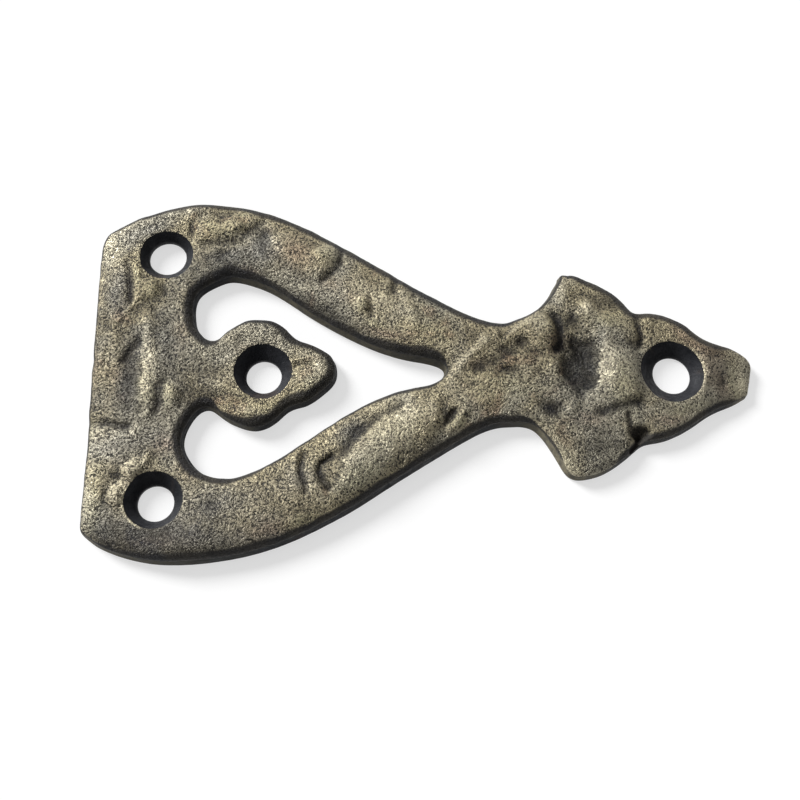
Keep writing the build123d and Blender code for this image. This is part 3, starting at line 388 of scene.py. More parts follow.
# ---------------------------------------------------------------- numbers
def closed_spline(points, step):
    """Evenly spaced points on the periodic cubic through points."""
    P = np.array(points, float)
    n = len(P)
    h = np.hypot(*(np.roll(P, -1, 0) - P).T)
    A = np.zeros((n, n))
    R = np.zeros((n, 2))
    for i in range(n):
        a, b = h[i - 1], h[i]
        A[i, i - 1] += a
        A[i, i] += 2 * (a + b)
        A[i, (i + 1) % n] += b
        R[i] = 6 * ((P[(i + 1) % n] - P[i]) / b - (P[i] - P[i - 1]) / a)
    M = np.linalg.solve(A, R)
    out = []
    for i in range(n):
        j, L = (i + 1) % n, h[i]
        t = np.linspace(0, L, 24, endpoint=False)[:, None]
        out.append(
            M[i] * (L - t) ** 3 / (6 * L) + M[j] * t ** 3 / (6 * L)
            + (P[i] / L - M[i] * L / 6) * (L - t) + (P[j] / L - M[j] * L / 6) * t
        )
    D = np.vstack(out)
    D = np.vstack([D, D[:1]])
    s = np.r_[0, np.cumsum(np.hypot(*np.diff(D, axis=0).T))]
    m = int(round(s[-1] / step))
    u = np.linspace(0, s[-1], m, endpoint=False)
    return np.stack([np.interp(u, s, D[:, 0]), np.interp(u, s, D[:, 1])], 1)


def normals_of(loop):
    """Unit normals pointing out of an anticlockwise loop."""
    t = np.roll(loop, -2, 0) - np.roll(loop, 2, 0)
    t /= np.linalg.norm(t, axis=1)[:, None]
    return np.stack([t[:, 1], -t[:, 0]], 1)


def lattice(ix, iy, iz, seed):
    h = (ix * 374761393 + iy * 668265263 + iz * 2147483647 + seed * 1274126177) & 0xFFFFFFFF
    h = ((h ^ (h >> 13)) * 1103515245) & 0xFFFFFFFF
    h = (h ^ (h >> 16)) & 0xFFFFFFFF
    return h / 4294967295.0 * 2 - 1


def noise(x, y, size, seed, z=0.0):
    """Smooth value noise in [-1, 1] with features about size across."""
    X, Y, Z = x / size, y / size, np.zeros_like(x) + z / size
    ix, iy, iz = (np.floor(v).astype(np.int64) for v in (X, Y, Z))
    fx, fy, fz = X - ix, Y - iy, Z - iz
    fx, fy, fz = (f * f * f * (f * (f * 6 - 15) + 10) for f in (fx, fy, fz))
    out = 0.0
    for dx in (0, 1):
        for dy in (0, 1):
            for dz in (0, 1):
                w = (fx if dx else 1 - fx) * (fy if dy else 1 - fy) * (fz if dz else 1 - fz)
                out = out + w * lattice(ix + dx, iy + dy, iz + dz, seed)
    return out


def fractal(x, y, size, seed, octaves=3, gain=0.5):
    total, amp, norm = 0.0, 1.0, 0.0
    for k in range(octaves):
        a = 0.9 * k + 0.37 * seed
        u, v = x * math.cos(a) - y * math.sin(a), x * math.sin(a) + y * math.cos(a)
        total = total + amp * noise(u + 17.3 * k, v - 9.1 * k, size / 2 ** k, seed + 31 * k)
        norm += amp
        amp *= gain
    return total / norm


def to_line(x, y, line):
    best = np.full(x.shape, 1e9)
    for (ax, ay), (bx, by) in zip(line, line[1:]):
        dx, dy = bx - ax, by - ay
        t = np.clip(((x - ax) * dx + (y - ay) * dy) / (dx * dx + dy * dy), 0, 1)
        best = np.minimum(best, np.hypot(x - ax - t * dx, y - ay - t * dy))
    return best


STEP = 0.30
loops = {"out": closed_spline(OUTLINE, STEP), "win": closed_spline(WINDOW, STEP)}
away = {"out": normals_of(loops["out"]), "win": -normals_of(loops["win"])}
base_fence = np.vstack([closed_spline(OUTLINE, 0.1), closed_spline(WINDOW, 0.1)])
base_tree = kdtree.KDTree(len(base_fence))
for i, q in enumerate(base_fence):
    base_tree.insert((q[0], q[1], 0), i)
base_tree.balance()


def base_distance(x, y):
    """Distance in plan from the outline or the window, measured at the back face."""
    return np.array([base_tree.find((a, b, 0))[2] for a, b in zip(x.ravel().tolist(), y.ravel().tolist())]).reshape(x.shape)


def face_height(x, y):
    """Height of the cast face before its edges are rounded."""
    rise = np.zeros_like(x)
    for line, up, half in ARMS:
        rise = np.maximum(rise, up * np.exp(-((to_line(x, y, line) / half) ** 2)))
    for hx, hy, rim in HOLES:
        rise = rise * (1 - np.exp(-((np.hypot(x - hx, y - hy) / 6.6) ** 4)))
    # hand-beaten unevenness, so that no edge of the relief is drafted cleanly
    wx = x + 0.35 * noise(x, y, 2.6, 5) + 0.12 * noise(x, y, 1.1, 6)
    wy = y + 0.35 * noise(x, y, 2.6, 7) + 0.12 * noise(x, y, 1.1, 8)
    brink = base_distance(x, y)
    flat = rise
    for item in RELIEF:
        kind = item[0]
        if kind == "e":
            _, cx, cy, up, reach, span = item
            rise = rise + up * np.exp(-((brink / reach) ** 2) - ((x - cx) ** 2 + (y - cy) ** 2) / span ** 2)
        elif kind in "gp":
            _, cx, cy, up, sx, sy, rot = item
            c, s = math.cos(math.radians(rot)), math.sin(math.radians(rot))
            u, v = (wx - cx) * c + (wy - cy) * s, -(wx - cx) * s + (wy - cy) * c
            q = (u / sx) ** 2 + (v / sy) ** 2
            rise = rise + up * (np.exp(-q) if kind == "g" else np.exp(-(q ** 2) * 0.8))
        else:
            _, line, up, w = item
            d = to_line(wx, wy, line) / w
            rise = rise + up * (np.exp(-(d ** 2)) if kind == "l" else np.exp(-(d ** 4)))
    # the countersinks were cut after casting, and cleaned the relief off their own rims
    for hx, hy, rim in HOLES:
        rise = flat + (rise - flat) * np.clip(0.15 + (np.hypot(x - hx, y - hy) - rim) / 1.0, 0.15, 1)
    rise = rise + 0.04 * fractal(x, y, 7.0, 11, 3) + 0.035 * fractal(x, y, 2.4, 12, 2)
    return PAD + rise


def grain(x, y):
    """The sand-cast skin: short wormy ridges and pits."""
    a = 0.6 * noise(x, y, 1.3, 21)
    u = x + 0.28 * noise(x, y, 0.9, 22)
    v = y + 0.28 * noise(x, y, 0.9, 23)
    ridged = 1 - 2 * np.abs(noise(u, v, 0.75, 24))
    return 0.45 * a + 0.55 * ridged


# ---------------------------------------------------------------- plan
def round_of(x, y, h):
    """Width and depth of the rounded front edge: slight on the plate, full on the thick arms."""
    full = np.clip((h - PAD) / 1.2, -0.4, 1.2)
    wide = 1.70 + 0.45 * full + 0.22 * noise(x, y, 5.0, 41)
    deep = 0.95 + 0.42 * full + 0.10 * noise(x, y, 4.0, 42)
    return wide, deep


front, wall_top = {}, {}
for key, B in loops.items():
    n = away[key]
    z = np.full(len(B), 1.8)
    for _ in range(6):
        Fp = B - n * (z * DRAFT)[:, None]
        h = face_height(Fp[:, 0], Fp[:, 1])
        z = np.clip(h - round_of(Fp[:, 0], Fp[:, 1], h)[1], 0.9, 2.7)
    wobble = 0.05 * noise(Fp[:, 0], Fp[:, 1], 1.6, 51)
    front[key], wall_top[key] = Fp + n * wobble[:, None], z

# rims of the countersinks: where the cone meets the uneven face
SPOKES = 132
rims = []
for k, (hx, hy, rim) in enumerate(HOLES):
    a = np.linspace(0, 2 * math.pi, SPOKES, endpoint=False)
    low = 0.55 if rim > 4.6 else 0.85
    chatter = 0.10 * noise(np.cos(a) * 3.0 + 7 * k, np.sin(a) * 3.0, 1.4, 61) + 0.05 * noise(
        np.cos(a) * 3.0 + 7 * k, np.sin(a) * 3.0, 0.45, 62)
    r = rim + 0.7 * chatter
    rims.append((hx, hy, rim, low, a, r))

fence_parts = [closed_spline([tuple(q) for q in front[k][::3]], 0.08) for k in ("out", "win")]
fence = np.vstack(fence_parts)
fence_away = np.vstack([normals_of(fence_parts[0]), -normals_of(fence_parts[1])])
tree = kdtree.KDTree(len(fence))
for i, q in enumerate(fence):
    tree.insert((q[0], q[1], 0), i)
tree.balance()


def edge_distance(P):
    return np.array([tree.find((q[0], q[1], 0))[2] for q in P])


def inside(P, loop):
    """Even-odd test of many points against one loop."""
    x, y = P[:, 0], P[:, 1]
    odd = np.zeros(len(P), bool)
    x1, y1 = loop[:, 0], loop[:, 1]
    x2, y2 = np.roll(x1, -1), np.roll(y1, -1)
    for i in range(len(loop)):
        if y1[i] == y2[i]:
            continue
        hit = ((y1[i] > y) != (y2[i] > y)) & (x < (x2[i] - x1[i]) * (y - y1[i]) / (y2[i] - y1[i]) + x1[i])
        odd ^= hit
    return odd


def in_plate(P, outer, inner):
    return inside(P, outer) & ~inside(P, inner)


points, tags = [], []
edges = []


def add_loop(P, tag):
    start = sum(len(p) for p in points)
    points.append(P)
    tags.append(np.full(len(P), tag))
    m = len(P)
    edges.extend((start + i, start + (i + 1) % m) for i in range(m))
    return start


start_of = {"out": add_loop(front["out"], 0), "win": add_loop(front["win"], 1)}
rim_start = []
for k, (hx, hy, rim, low, a, r) in enumerate(rims):
    rim_start.append(add_loop(np.stack([hx + r * np.cos(a), hy + r * np.sin(a)], 1), 2 + k))

kept = [np.vstack(points)]
RINGS = [0.05, 0.16, 0.34, 0.58]
for d in RINGS:
    ring = []
    for key in ("out", "win"):
        n = normals_of(front[key]) * (1 if key == "out" else -1)
        P = front[key] - n * d
        ring.append(P[edge_distance(P) > d - 0.012])
    ring = np.vstack(ring)
    points.append(ring)
    tags.append(np.full(len(ring), 9))
for k, (hx, hy, rim, low, a, r) in enumerate(rims):
    for d, every in ((0.07, 1), (0.20, 1), (0.42, 1)):
        P = np.stack([hx + (r + d) * np.cos(a), hy + (r + d) * np.sin(a)], 1)[::every]
        points.append(P[edge_distance(P) > 0.75])
        tags.append(np.full(len(points[-1]), 9))
PITCH = 0.255
gx, gy = np.meshgrid(np.arange(-51.5, 51.5, PITCH), np.arange(-29.5, 29.5, PITCH * 0.8660254))
gx = gx + (np.arange(gx.shape[0]) % 2)[:, None] * PITCH / 2
G = np.stack([gx.ravel(), gy.ravel()], 1)
G = G[in_plate(G, front["out"], front["win"])]
jig = np.random.default_rng(7).uniform(-0.045, 0.045, G.shape)
G = (G + jig)[edge_distance(G) > RINGS[-1] + 0.20]
for hx, hy, rim, low, a, r in rims:
    ang = np.arctan2(G[:, 1] - hy, G[:, 0] - hx) % (2 * math.pi)
    rr = np.interp(ang, np.r_[a, 2 * math.pi], np.r_[r, r[:1]])
    G = G[np.hypot(G[:, 0] - hx, G[:, 1] - hy) > rr + 0.60]
points.append(G)
tags.append(np.full(len(G), 9))
plan = np.vstack(points)
tag = np.concatenate(tags)


def triangulate(plan, edges, tag, keep_test):
    out = delaunay_2d_cdt([Vector((float(a), float(b))) for a, b in plan], edges, [], 0, 1e-7)
    back_to = [o[0] if o else -1 for o in out[3]]
    if len(out[0]) > len(plan) or -1 in back_to:
        raise RuntimeError("the plan's loops cross")
    tri = np.array([[back_to[v] for v in f] for f in out[2]])
    on_loop = (tag[tri] < 9).all(1)
    mid = plan[tri].mean(1)
    ok = np.ones(len(tri), bool)
    ok[on_loop] = keep_test(mid[on_loop])
    tri = tri[ok]
    p, q, r = plan[tri[:, 0]], plan[tri[:, 1]], plan[tri[:, 2]]
    turn = (q[:, 0] - p[:, 0]) * (r[:, 1] - p[:, 1]) - (q[:, 1] - p[:, 1]) * (r[:, 0] - p[:, 0])
    tri[turn < 0] = tri[turn < 0][:, ::-1]
    return tri[np.abs(turn) > 1e-9]


def on_face(P):
    ok = in_plate(P, front["out"], front["win"])
    for hx, hy, rim, low, a, r in rims:
        ok &= ~inside(P, np.stack([hx + r * np.cos(a), hy + r * np.sin(a)], 1))
    return ok


top_tri = triangulate(plan, edges, tag, on_face)

# ---------------------------------------------------------------- heights of the face
x, y = plan[:, 0], plan[:, 1]
h = face_height(x, y)
dist = edge_distance(plan)
dist[(tag == 0) | (tag == 1)] = 0.0
wide, deep = round_of(x, y, h)
drop = np.clip(1 - dist / wide, 0, 1)
z = h - deep * (1 - np.sqrt(np.clip(1 - drop ** 2, 0, 1)))
calm = np.clip(dist / 0.8, 0.0, 1.0)
lip = np.zeros(len(plan))
for hx, hy, rim, low, a, r in rims:
    away_r = np.hypot(x - hx, y - hy)
    ang = np.arctan2(y - hy, x - hx) % (2 * math.pi)
    rr = np.interp(ang, np.r_[a, 2 * math.pi], np.r_[r, r[:1]])
    gap = away_r - rr
    z -= 0.06 * np.exp(-np.clip(gap, 0, None) / 0.10) * (gap < 2)
    calm *= np.clip(0.15 + gap / 0.6, 0, 1)
    mid, half, strong = LIPS[(hx, hy, rim)]
    turn = (np.degrees(ang) - mid + 180.0) % 360.0 - 180.0
    part = strong * np.exp(-((turn / half) ** 4)) * np.clip(
        0.85 + 0.6 * noise(np.cos(ang) * 2.2 + 11 * hx, np.sin(ang) * 2.2, 1.0, 63), 0, 1)
    lip = np.maximum(lip, part * np.exp(-((gap - 0.12) / 0.24) ** 2))
skin = grain(x, y)
z += 0.040 * skin * (0.25 + 0.75 * calm)
for key, s in start_of.items():
    m = len(front[key])
    z[s:s + m] = wall_top[key]
for (hx, hy, rim, low, a, r), s in zip(rims, rim_start):
    z[s:s + SPOKES] = np.clip(z[s:s + SPOKES], low + 0.8, None)

verts = [np.stack([x, y, z], 1)]
faces, uvs, mats = [], [], []
count = len(plan)
SHEET = 106.0            # the side of the unwrap's square, in mm
TOP_V = SHEET - 29.6     # where y = 0 of the face lies on it


def top_uv(P):
    return np.stack([(P[..., 0] + 53.0) / SHEET, (P[..., 1] + TOP_V) / SHEET], -1)


faces.append(top_tri)
uvs.append(top_uv(plan[top_tri]))
mats.append(np.zeros(len(top_tri), int))


def strip(rows, closed_uv, material, flip):
    """Quads as triangle pairs between successive loops of vertex numbers."""
    global count
    tri, uv = [], []
    for (va, ta), (vb, tb) in zip(rows, rows[1:]):
        m = len(va)
        i, j = np.arange(m), (np.arange(m) + 1) % m
        for a, b, c, ua, ub, uc in (
            (va[i], va[j], vb[j], (i, ta, 0), (i + 1, ta, 0), (i + 1, tb, 1)),
            (va[i], vb[j], vb[i], (i, ta, 0), (i + 1, tb, 1), (i, tb, 1)),
        ):
            t = np.stack([a, b, c], 1)
            w = np.stack([closed_uv(*ua[:2]), closed_uv(*ub[:2]), closed_uv(*uc[:2])], 1)
            if flip:
                t, w = t[:, ::-1], w[:, ::-1]
            tri.append(t)
            uv.append(w)
    faces.append(np.vstack(tri))
    uvs.append(np.vstack(uv))
    mats.append(np.full(len(faces[-1]), material))


# ---------------------------------------------------------------- side walls
ROW_H = 4.0
run = 0
ROW_L = 102.0


def row_uv(offset):
    """Strip coordinates: distance along the strip from offset, and the height given. Heights are mm up the wall."""
    def uv(i, height):
        s = offset + (np.asarray(i) * STEP)
        return s, np.zeros_like(s, float) + height
    return uv


def pack_rows(s, hgt, first, scale=1.0):
    """Strip coordinates to the sheet; each triangle stays in the row of its first corner."""
    row = np.floor(s.min(axis=1, keepdims=True) / ROW_L)
    u = (s - row * ROW_L) + 1.0
    v = first + row * ROW_H + hgt
    return np.stack([u / SHEET, v / SHEET], -1)


LEVELS = 6
wall_rows = {}
wall_levels = {}
offset = 0.0
strip_rows = 0
for key in ("out", "win"):
    B, n, F0, zt = loops[key], away[key], front[key], wall_top[key]
    m = len(B)
    rows = [(np.arange(start_of[key], start_of[key] + m), 3.0)]
    for k in range(1, LEVELS + 1):
        t = k / LEVELS
        zz = zt * (1 - t) + 0.12 * t
        P = F0 * (1 - t) + B * t
        rough = 0.045 * noise(P[:, 0] * 1.0, P[:, 1] * 1.0, 0.8, 71, zz * 1.3) + 0.04 * noise(P[:, 0], P[:, 1], 2.2, 72, zz)
        if k == LEVELS:
            rough = rough * 0.3
        P = P + n * rough[:, None]
        verts.append(np.column_stack([P, zz]))
        rows.append((np.arange(count, count + m), 3.0 * (1 - t)))
        count += m
    foot = B - n * 0.12
    verts.append(np.column_stack([foot, np.zeros(m)]))
    rows.append((np.arange(count, count + m), -0.2))
    wall_rows[key] = (np.arange(count, count + m), foot)
    wall_levels[key] = [row for row, _ in rows]
    count += m
    tri_before = len(faces)
    tri, uv = [], []
    strip(rows, lambda i, t: np.stack([offset + np.asarray(i) * STEP, np.zeros(len(np.atleast_1d(i))) + t], -1), 1, key == "out")
    w = uvs[-1]
    uvs[-1] = pack_rows(w[..., 0], w[..., 1], 1.0)
    offset = ROW_L * math.ceil((offset + m * STEP) / ROW_L)
wall_rows_used = int(offset / ROW_L)

# ---------------------------------------------------------------- countersinks and bores
bore_rows = []
bore_off = 0.0
for (hx, hy, rim, low, a, r), s, (ox, oy, bore) in zip(rims, rim_start, BORES):
    bx, by = hx + ox, hy + oy
    ring = [(np.arange(s, s + SPOKES), None)]
    zr = z[s:s + SPOKES]
    pts = [np.column_stack([hx + r * np.cos(a), hy + r * np.sin(a)])]
    for k in range(1, 8):
        t = k / 7
        px = (hx + r * np.cos(a)) * (1 - t) + (bx + bore * np.cos(a)) * t
        py = (hy + r * np.sin(a)) * (1 - t) + (by + bore * np.sin(a)) * t
        zz = zr * (1 - t) + low * t
        # faint tool rings, and a little sag between rim and bore
        zz = zz - 0.05 * math.sin(math.pi * t) + 0.012 * math.cos(t * 34.0)
        if k == 7:
            zz = np.full(SPOKES, low)
        verts.append(np.column_stack([px, py, zz]))
        ring.append((np.arange(count, count + SPOKES), None))
        count += SPOKES
    allv = np.vstack(verts)
    tri = []
    for (va, _), (vb, _) in zip(ring, ring[1:]):
        i, j = np.arange(SPOKES), (np.arange(SPOKES) + 1) % SPOKES
        tri += [np.stack([va[i], vb[j], va[j]], 1)[:, ::-1][:, ::-1], np.stack([va[i], vb[i], vb[j]], 1)]
    tri = np.vstack(tri)
    p, q, w = allv[tri[:, 0]], allv[tri[:, 1]], allv[tri[:, 2]]
    up = np.cross(q - p, w - p)[:, 2]
    tri[up < 0] = tri[up < 0][:, ::-1]
    faces.append(tri)
    uvs.append(top_uv(allv[tri][..., :2]))
    mats.append(np.full(len(tri), 2))
    # bore
    rows = [ring[-1]]
    for zz, dr in ((low * 0.5, 0.0), (0.10, 0.0), (0.0, 0.08)):
        verts.append(np.column_stack([bx + (bore + dr) * np.cos(a), by + (bore + dr) * np.sin(a), np.full(SPOKES, zz)]))
        rows.append((np.arange(count, count + SPOKES), zz))
        count += SPOKES
    allv = np.vstack(verts)
    tri, uv = [], []
    arc = 2 * math.pi * bore / SPOKES
    base = bore_off
    for kk, ((va, _), (vb, _)) in enumerate(zip(rows, rows[1:])):
        i, j = np.arange(SPOKES), (np.arange(SPOKES) + 1) % SPOKES
        va_h, vb_h = 1.2 - 0.45 * kk, 1.2 - 0.45 * (kk + 1)
        for t3, u3 in (
            ((va[i], vb[j], va[j]), ((i, va_h), (i + 1, vb_h), (i + 1, va_h))),
            ((va[i], vb[i], vb[j]), ((i, va_h), (i, vb_h), (i + 1, vb_h))),
        ):
            tri.append(np.stack(t3, 1))
            uv.append(np.stack([np.column_stack([base + np.asarray(q) * arc, np.full(SPOKES, hh)]) for q, hh in u3], 1))
    tri, uv = np.vstack(tri), np.vstack(uv)
    p, q, w = allv[tri[:, 0]], allv[tri[:, 1]], allv[tri[:, 2]]
    nn = np.cross(q - p, w - p)[:, :2]
    c = allv[tri].mean(1)[:, :2] - np.array([bx, by])
    wrong = (nn * c).sum(1) > 0
    tri[wrong], uv[wrong] = tri[wrong][:, ::-1], uv[wrong][:, ::-1]
    faces.append(tri)
    uvs.append(np.stack([(uv[..., 0] + 1.0) / SHEET, (uv[..., 1] + 1.0 + wall_rows_used * ROW_H) / SHEET], -1))
    mats.append(np.full(len(tri), 2))
    bore_off += 2 * math.pi * bore + 1.5
    bore_rows.append((rows[-1][0], np.column_stack([bx + (bore + 0.08) * np.cos(a), by + (bore + 0.08) * np.sin(a)])))

# ---------------------------------------------------------------- flat back
bp, bt, be, ids = [], [], [], []
for k, (vid, P) in enumerate([wall_rows["out"], wall_rows["win"]] + bore_rows):
    s = sum(len(q) for q in bp)
    bp.append(P)
    bt.append(np.full(len(P), k))
    ids.append(vid)
    be += [(s + i, s + (i + 1) % len(P)) for i in range(len(P))]
gx, gy = np.meshgrid(np.arange(-51.5, 51.5, 0.8), np.arange(-29.5, 29.5, 0.8 * 0.866))
gx = gx + (np.arange(gx.shape[0]) % 2)[:, None] * 0.4
G = np.stack([gx.ravel(), gy.ravel()], 1)
G = G[in_plate(G, wall_rows["out"][1], wall_rows["win"][1])]
near = kdtree.KDTree(sum(len(q) for q in bp))
for i, q in enumerate(np.vstack(bp)):
    near.insert((q[0], q[1], 0), i)
near.balance()
G = G[np.array([near.find((q[0], q[1], 0))[2] for q in G]) > 0.45]
for hx, hy, rim in HOLES:
    G = G[np.hypot(G[:, 0] - hx, G[:, 1] - hy) > 3.3]
back_plan = np.vstack(bp + [G])
back_tag = np.concatenate(bt + [np.full(len(G), 9)])


def on_back(P):
    ok = in_plate(P, wall_rows["out"][1], wall_rows["win"][1])
    for _, loop in bore_rows:
        ok &= ~inside(P, loop)
    return ok


back_tri = triangulate(back_plan, be, back_tag, on_back)
hollow = 0.05 * (0.5 + 0.5 * noise(G[:, 0], G[:, 1], 6.0, 81)) * np.clip(
    np.array([near.find((q[0], q[1], 0))[2] for q in G]) / 2.0, 0, 1)
verts.append(np.column_stack([G, hollow]))
number = np.concatenate(ids + [np.arange(count, count + len(G))])
count += len(G)
back_uv_v = 1.0 + (wall_rows_used + 1) * ROW_H
B2 = back_plan[back_tri][:, ::-1]
faces.append(number[back_tri][:, ::-1])
uvs.append(np.stack([(53.0 - B2[..., 0] * 0.42 - 20.0) / SHEET, (back_uv_v + (B2[..., 1] + 29.0) * 0.42) / SHEET], -1))
mats.append(np.full(len(back_tri), 1))

verts = np.vstack(verts)
faces = np.vstack(faces)
uvs = np.vstack(uvs)
mats = np.concatenate(mats)

# ---------------------------------------------------------------- mesh
mesh = bpy.data.meshes.new("hinge_front")
mesh.from_pydata((verts * 0.001).tolist(), [], faces.tolist())
mesh.polygons.foreach_set("material_index", mats.astype(np.int32))
layer = mesh.uv_layers.new(name="OFBake")
layer.data.foreach_set("uv", uvs.reshape(-1).astype(np.float32))
mesh.polygons.foreach_set("use_smooth", np.ones(len(faces), bool))
mesh.update()

# sharp edges at the countersink rims, bore mouths and back edge
sharp_pairs = set()
for s in rim_start:
    sharp_pairs |= {(s + i, s + (i + 1) % SPOKES) for i in range(SPOKES)}
for vid, _ in bore_rows + [wall_rows["out"], wall_rows["win"]]:
    m = len(vid)
    sharp_pairs |= {(int(vid[i]), int(vid[(i + 1) % m])) for i in range(m)}
ev = np.zeros(len(mesh.edges) * 2, np.int32)
mesh.edges.foreach_get("vertices", ev)
ev = ev.reshape(-1, 2)
keys = {(min(a, b), max(a, b)) for a, b in sharp_pairs}
sharp = np.array([(min(a, b), max(a, b)) in keys for a, b in ev.tolist()])
mesh.attributes.new("sharp_edge", "BOOLEAN", "EDGE").data.foreach_set("value", sharp)

# how far each vertex lies below its surroundings (over about 1 mm and about 3 mm)
def relative(z0, rounds):
    zs = z0.copy()
    deg = np.bincount(ev.ravel(), minlength=len(z0)).astype(float)
    for _ in range(rounds):
        acc = np.bincount(ev[:, 0], weights=zs[ev[:, 1]], minlength=len(z0)) + np.bincount(
            ev[:, 1], weights=zs[ev[:, 0]], minlength=len(z0))
        zs = 0.3 * zs + 0.7 * acc / np.maximum(deg, 1)
    return z0 - zs


n_top = len(plan)
zrel = verts[:, 2].copy()
fine = relative(zrel, 10)
broad = relative(zrel, 110)
fine[n_top:] = 0
broad[n_top:] = 0
edge_near = np.zeros(len(verts))
# the dark band along the front edges: partly patina, partly painted shade, wider on edges turned from the key light and
# narrower on edges that face it
nearest = np.array([tree.find((q[0], q[1], 0))[1] for q in plan])
facing = fence_away[nearest]
under = np.clip(-facing[:, 1] + 0.85 * np.clip(facing[:, 0], -1, 0), 0, 1)
opening = (nearest >= len(fence_parts[0])).astype(float)
band = 0.48 + 1.08 * np.clip(facing @ np.array([0.74, 0.67]), 0, 1) + 0.56 * under + opening * (0.04 + (0.74 - 0.25 * np.clip(facing[:, 0], 0, 1)) * under)
band -= 0.90 * np.clip(facing @ np.array([-0.80, -0.60]) - 0.5, 0, 1) + 0.24 * opening * np.clip(facing[:, 1], 0, 1)
band -= 0.85 * np.clip((x - 45.5) / 2.0, 0, 1) * np.clip(facing[:, 0], 0, 1)
band = np.clip(band, 0.25, None) + 0.14 * noise(x, y, 3.0, 91)
edge_near[:n_top] = np.clip(1 - dist / (2 * band), 0, 1)
# painted highlight: the dark edge band is thinned at the tip's right end and on the barb's lower edge, where those
# edges catch the light
painted_lit_edge = np.clip((x - 45.5) / 2.0, 0, 1) * np.clip(facing[:, 0], 0, 1) + np.exp(-((x - 24) / 5.5) ** 4 - ((y + 16.5) / 3.0) ** 4)
edge_near[:n_top] *= 1 - 0.7 * np.clip(painted_lit_edge, 0, 1)
edge_near[n_top:] = 1
lips = np.zeros(len(verts))
lips[:n_top] = lip
# brass share that rises from left to right across the piece
rightward_rise = 0.5 + 0.36 * np.clip((verts[:, 0] + 6.0) / 44.0, -1, 1)
tooth = 0.5 + 0.5 * np.exp(-(((verts[:, 0] - 17.0) / 13.0) ** 2)) - 0.35 * np.exp(-(((verts[:, 0] - 46.0) / 8.0) ** 2))
patch = {key: np.zeros(len(verts)) for key in ("dark", "cool", "ruddy", "olive")}
px = x + 0.30 * noise(x, y, 1.6, 95) + 0.22 * noise(x, y, 0.7, 96)
py = y + 0.30 * noise(x, y, 1.6, 97) + 0.22 * noise(x, y, 0.7, 98)
for kind, cx, cy, sx, sy, rot, amount in PATCHES:
    c, s = math.cos(math.radians(rot)), math.sin(math.radians(rot))
    q = (((px - cx) * c + (py - cy) * s) / sx) ** 2 + ((-(px - cx) * s + (py - cy) * c) / sy) ** 2
    patch[kind][:n_top] += amount * np.exp(-0.8 * q)
# painted shade: a darker band inside the edges that face down, away from the key light
patch["dark"][:n_top] += 0.30 * under * np.exp(-((dist / 3.2) ** 2))
# painted light: walls that face the key light (to the left) get a lighter colour
painted_lit_side = np.zeros(len(verts))
for key in ("out", "win"):
    look = np.clip(away[key] @ np.array([-0.94, -0.34]), 0, 1) ** 1.5
    if key == "out":      # painted light also on the barb's lower edges and on the tip
        look = np.maximum(look, 0.80 * np.clip((loops[key][:, 0] - 46.5) / 2.0, 0, 1))
        look = np.maximum(look, 0.75 * np.exp(-(((loops[key][:, 0] - 21.0) / 6.0) ** 4) - ((loops[key][:, 1] + 16.0) / 5.0) ** 4))
    m = len(look)
    for row in wall_levels[key]:
        painted_lit_side[row] = look
for name, values in (("dark", np.clip(0.5 + 0.5 * patch["dark"], 0, 1)), ("cool", np.clip(patch["cool"], 0, 1)),
                     ("ruddy", np.clip(patch["ruddy"], 0, 1)), ("olive", np.clip(patch["olive"], 0, 1)), ("lip", lips), ("rightward_rise", rightward_rise), ("tooth", tooth), ("painted_lit_side", painted_lit_side), ("fine", np.clip(0.5 + fine / 0.10, 0, 1)), ("broad", np.clip(0.5 + broad / 0.6, 0, 1)), ("edge_patina_and_shade", edge_near)):
    mesh.attributes.new(name, "FLOAT", "POINT").data.foreach_set("value", values.astype(np.float32))
mesh.validate(verbose=False)
plate = bpy.data.objects.new("hinge_front_casting_visual", mesh)
bpy.context.scene.collection.objects.link(plate)


# ---------------------------------------------------------------- materials
def new_material(name):
    mat = bpy.data.materials.new(name)
    mat.use_nodes = True
    nt = mat.node_tree
    nt.nodes.clear()
    out = nt.nodes.new("ShaderNodeOutputMaterial")
    bsdf = nt.nodes.new("ShaderNodeBsdfPrincipled")
    nt.links.new(bsdf.outputs[0], out.inputs["Surface"])
    return mat, nt, bsdf


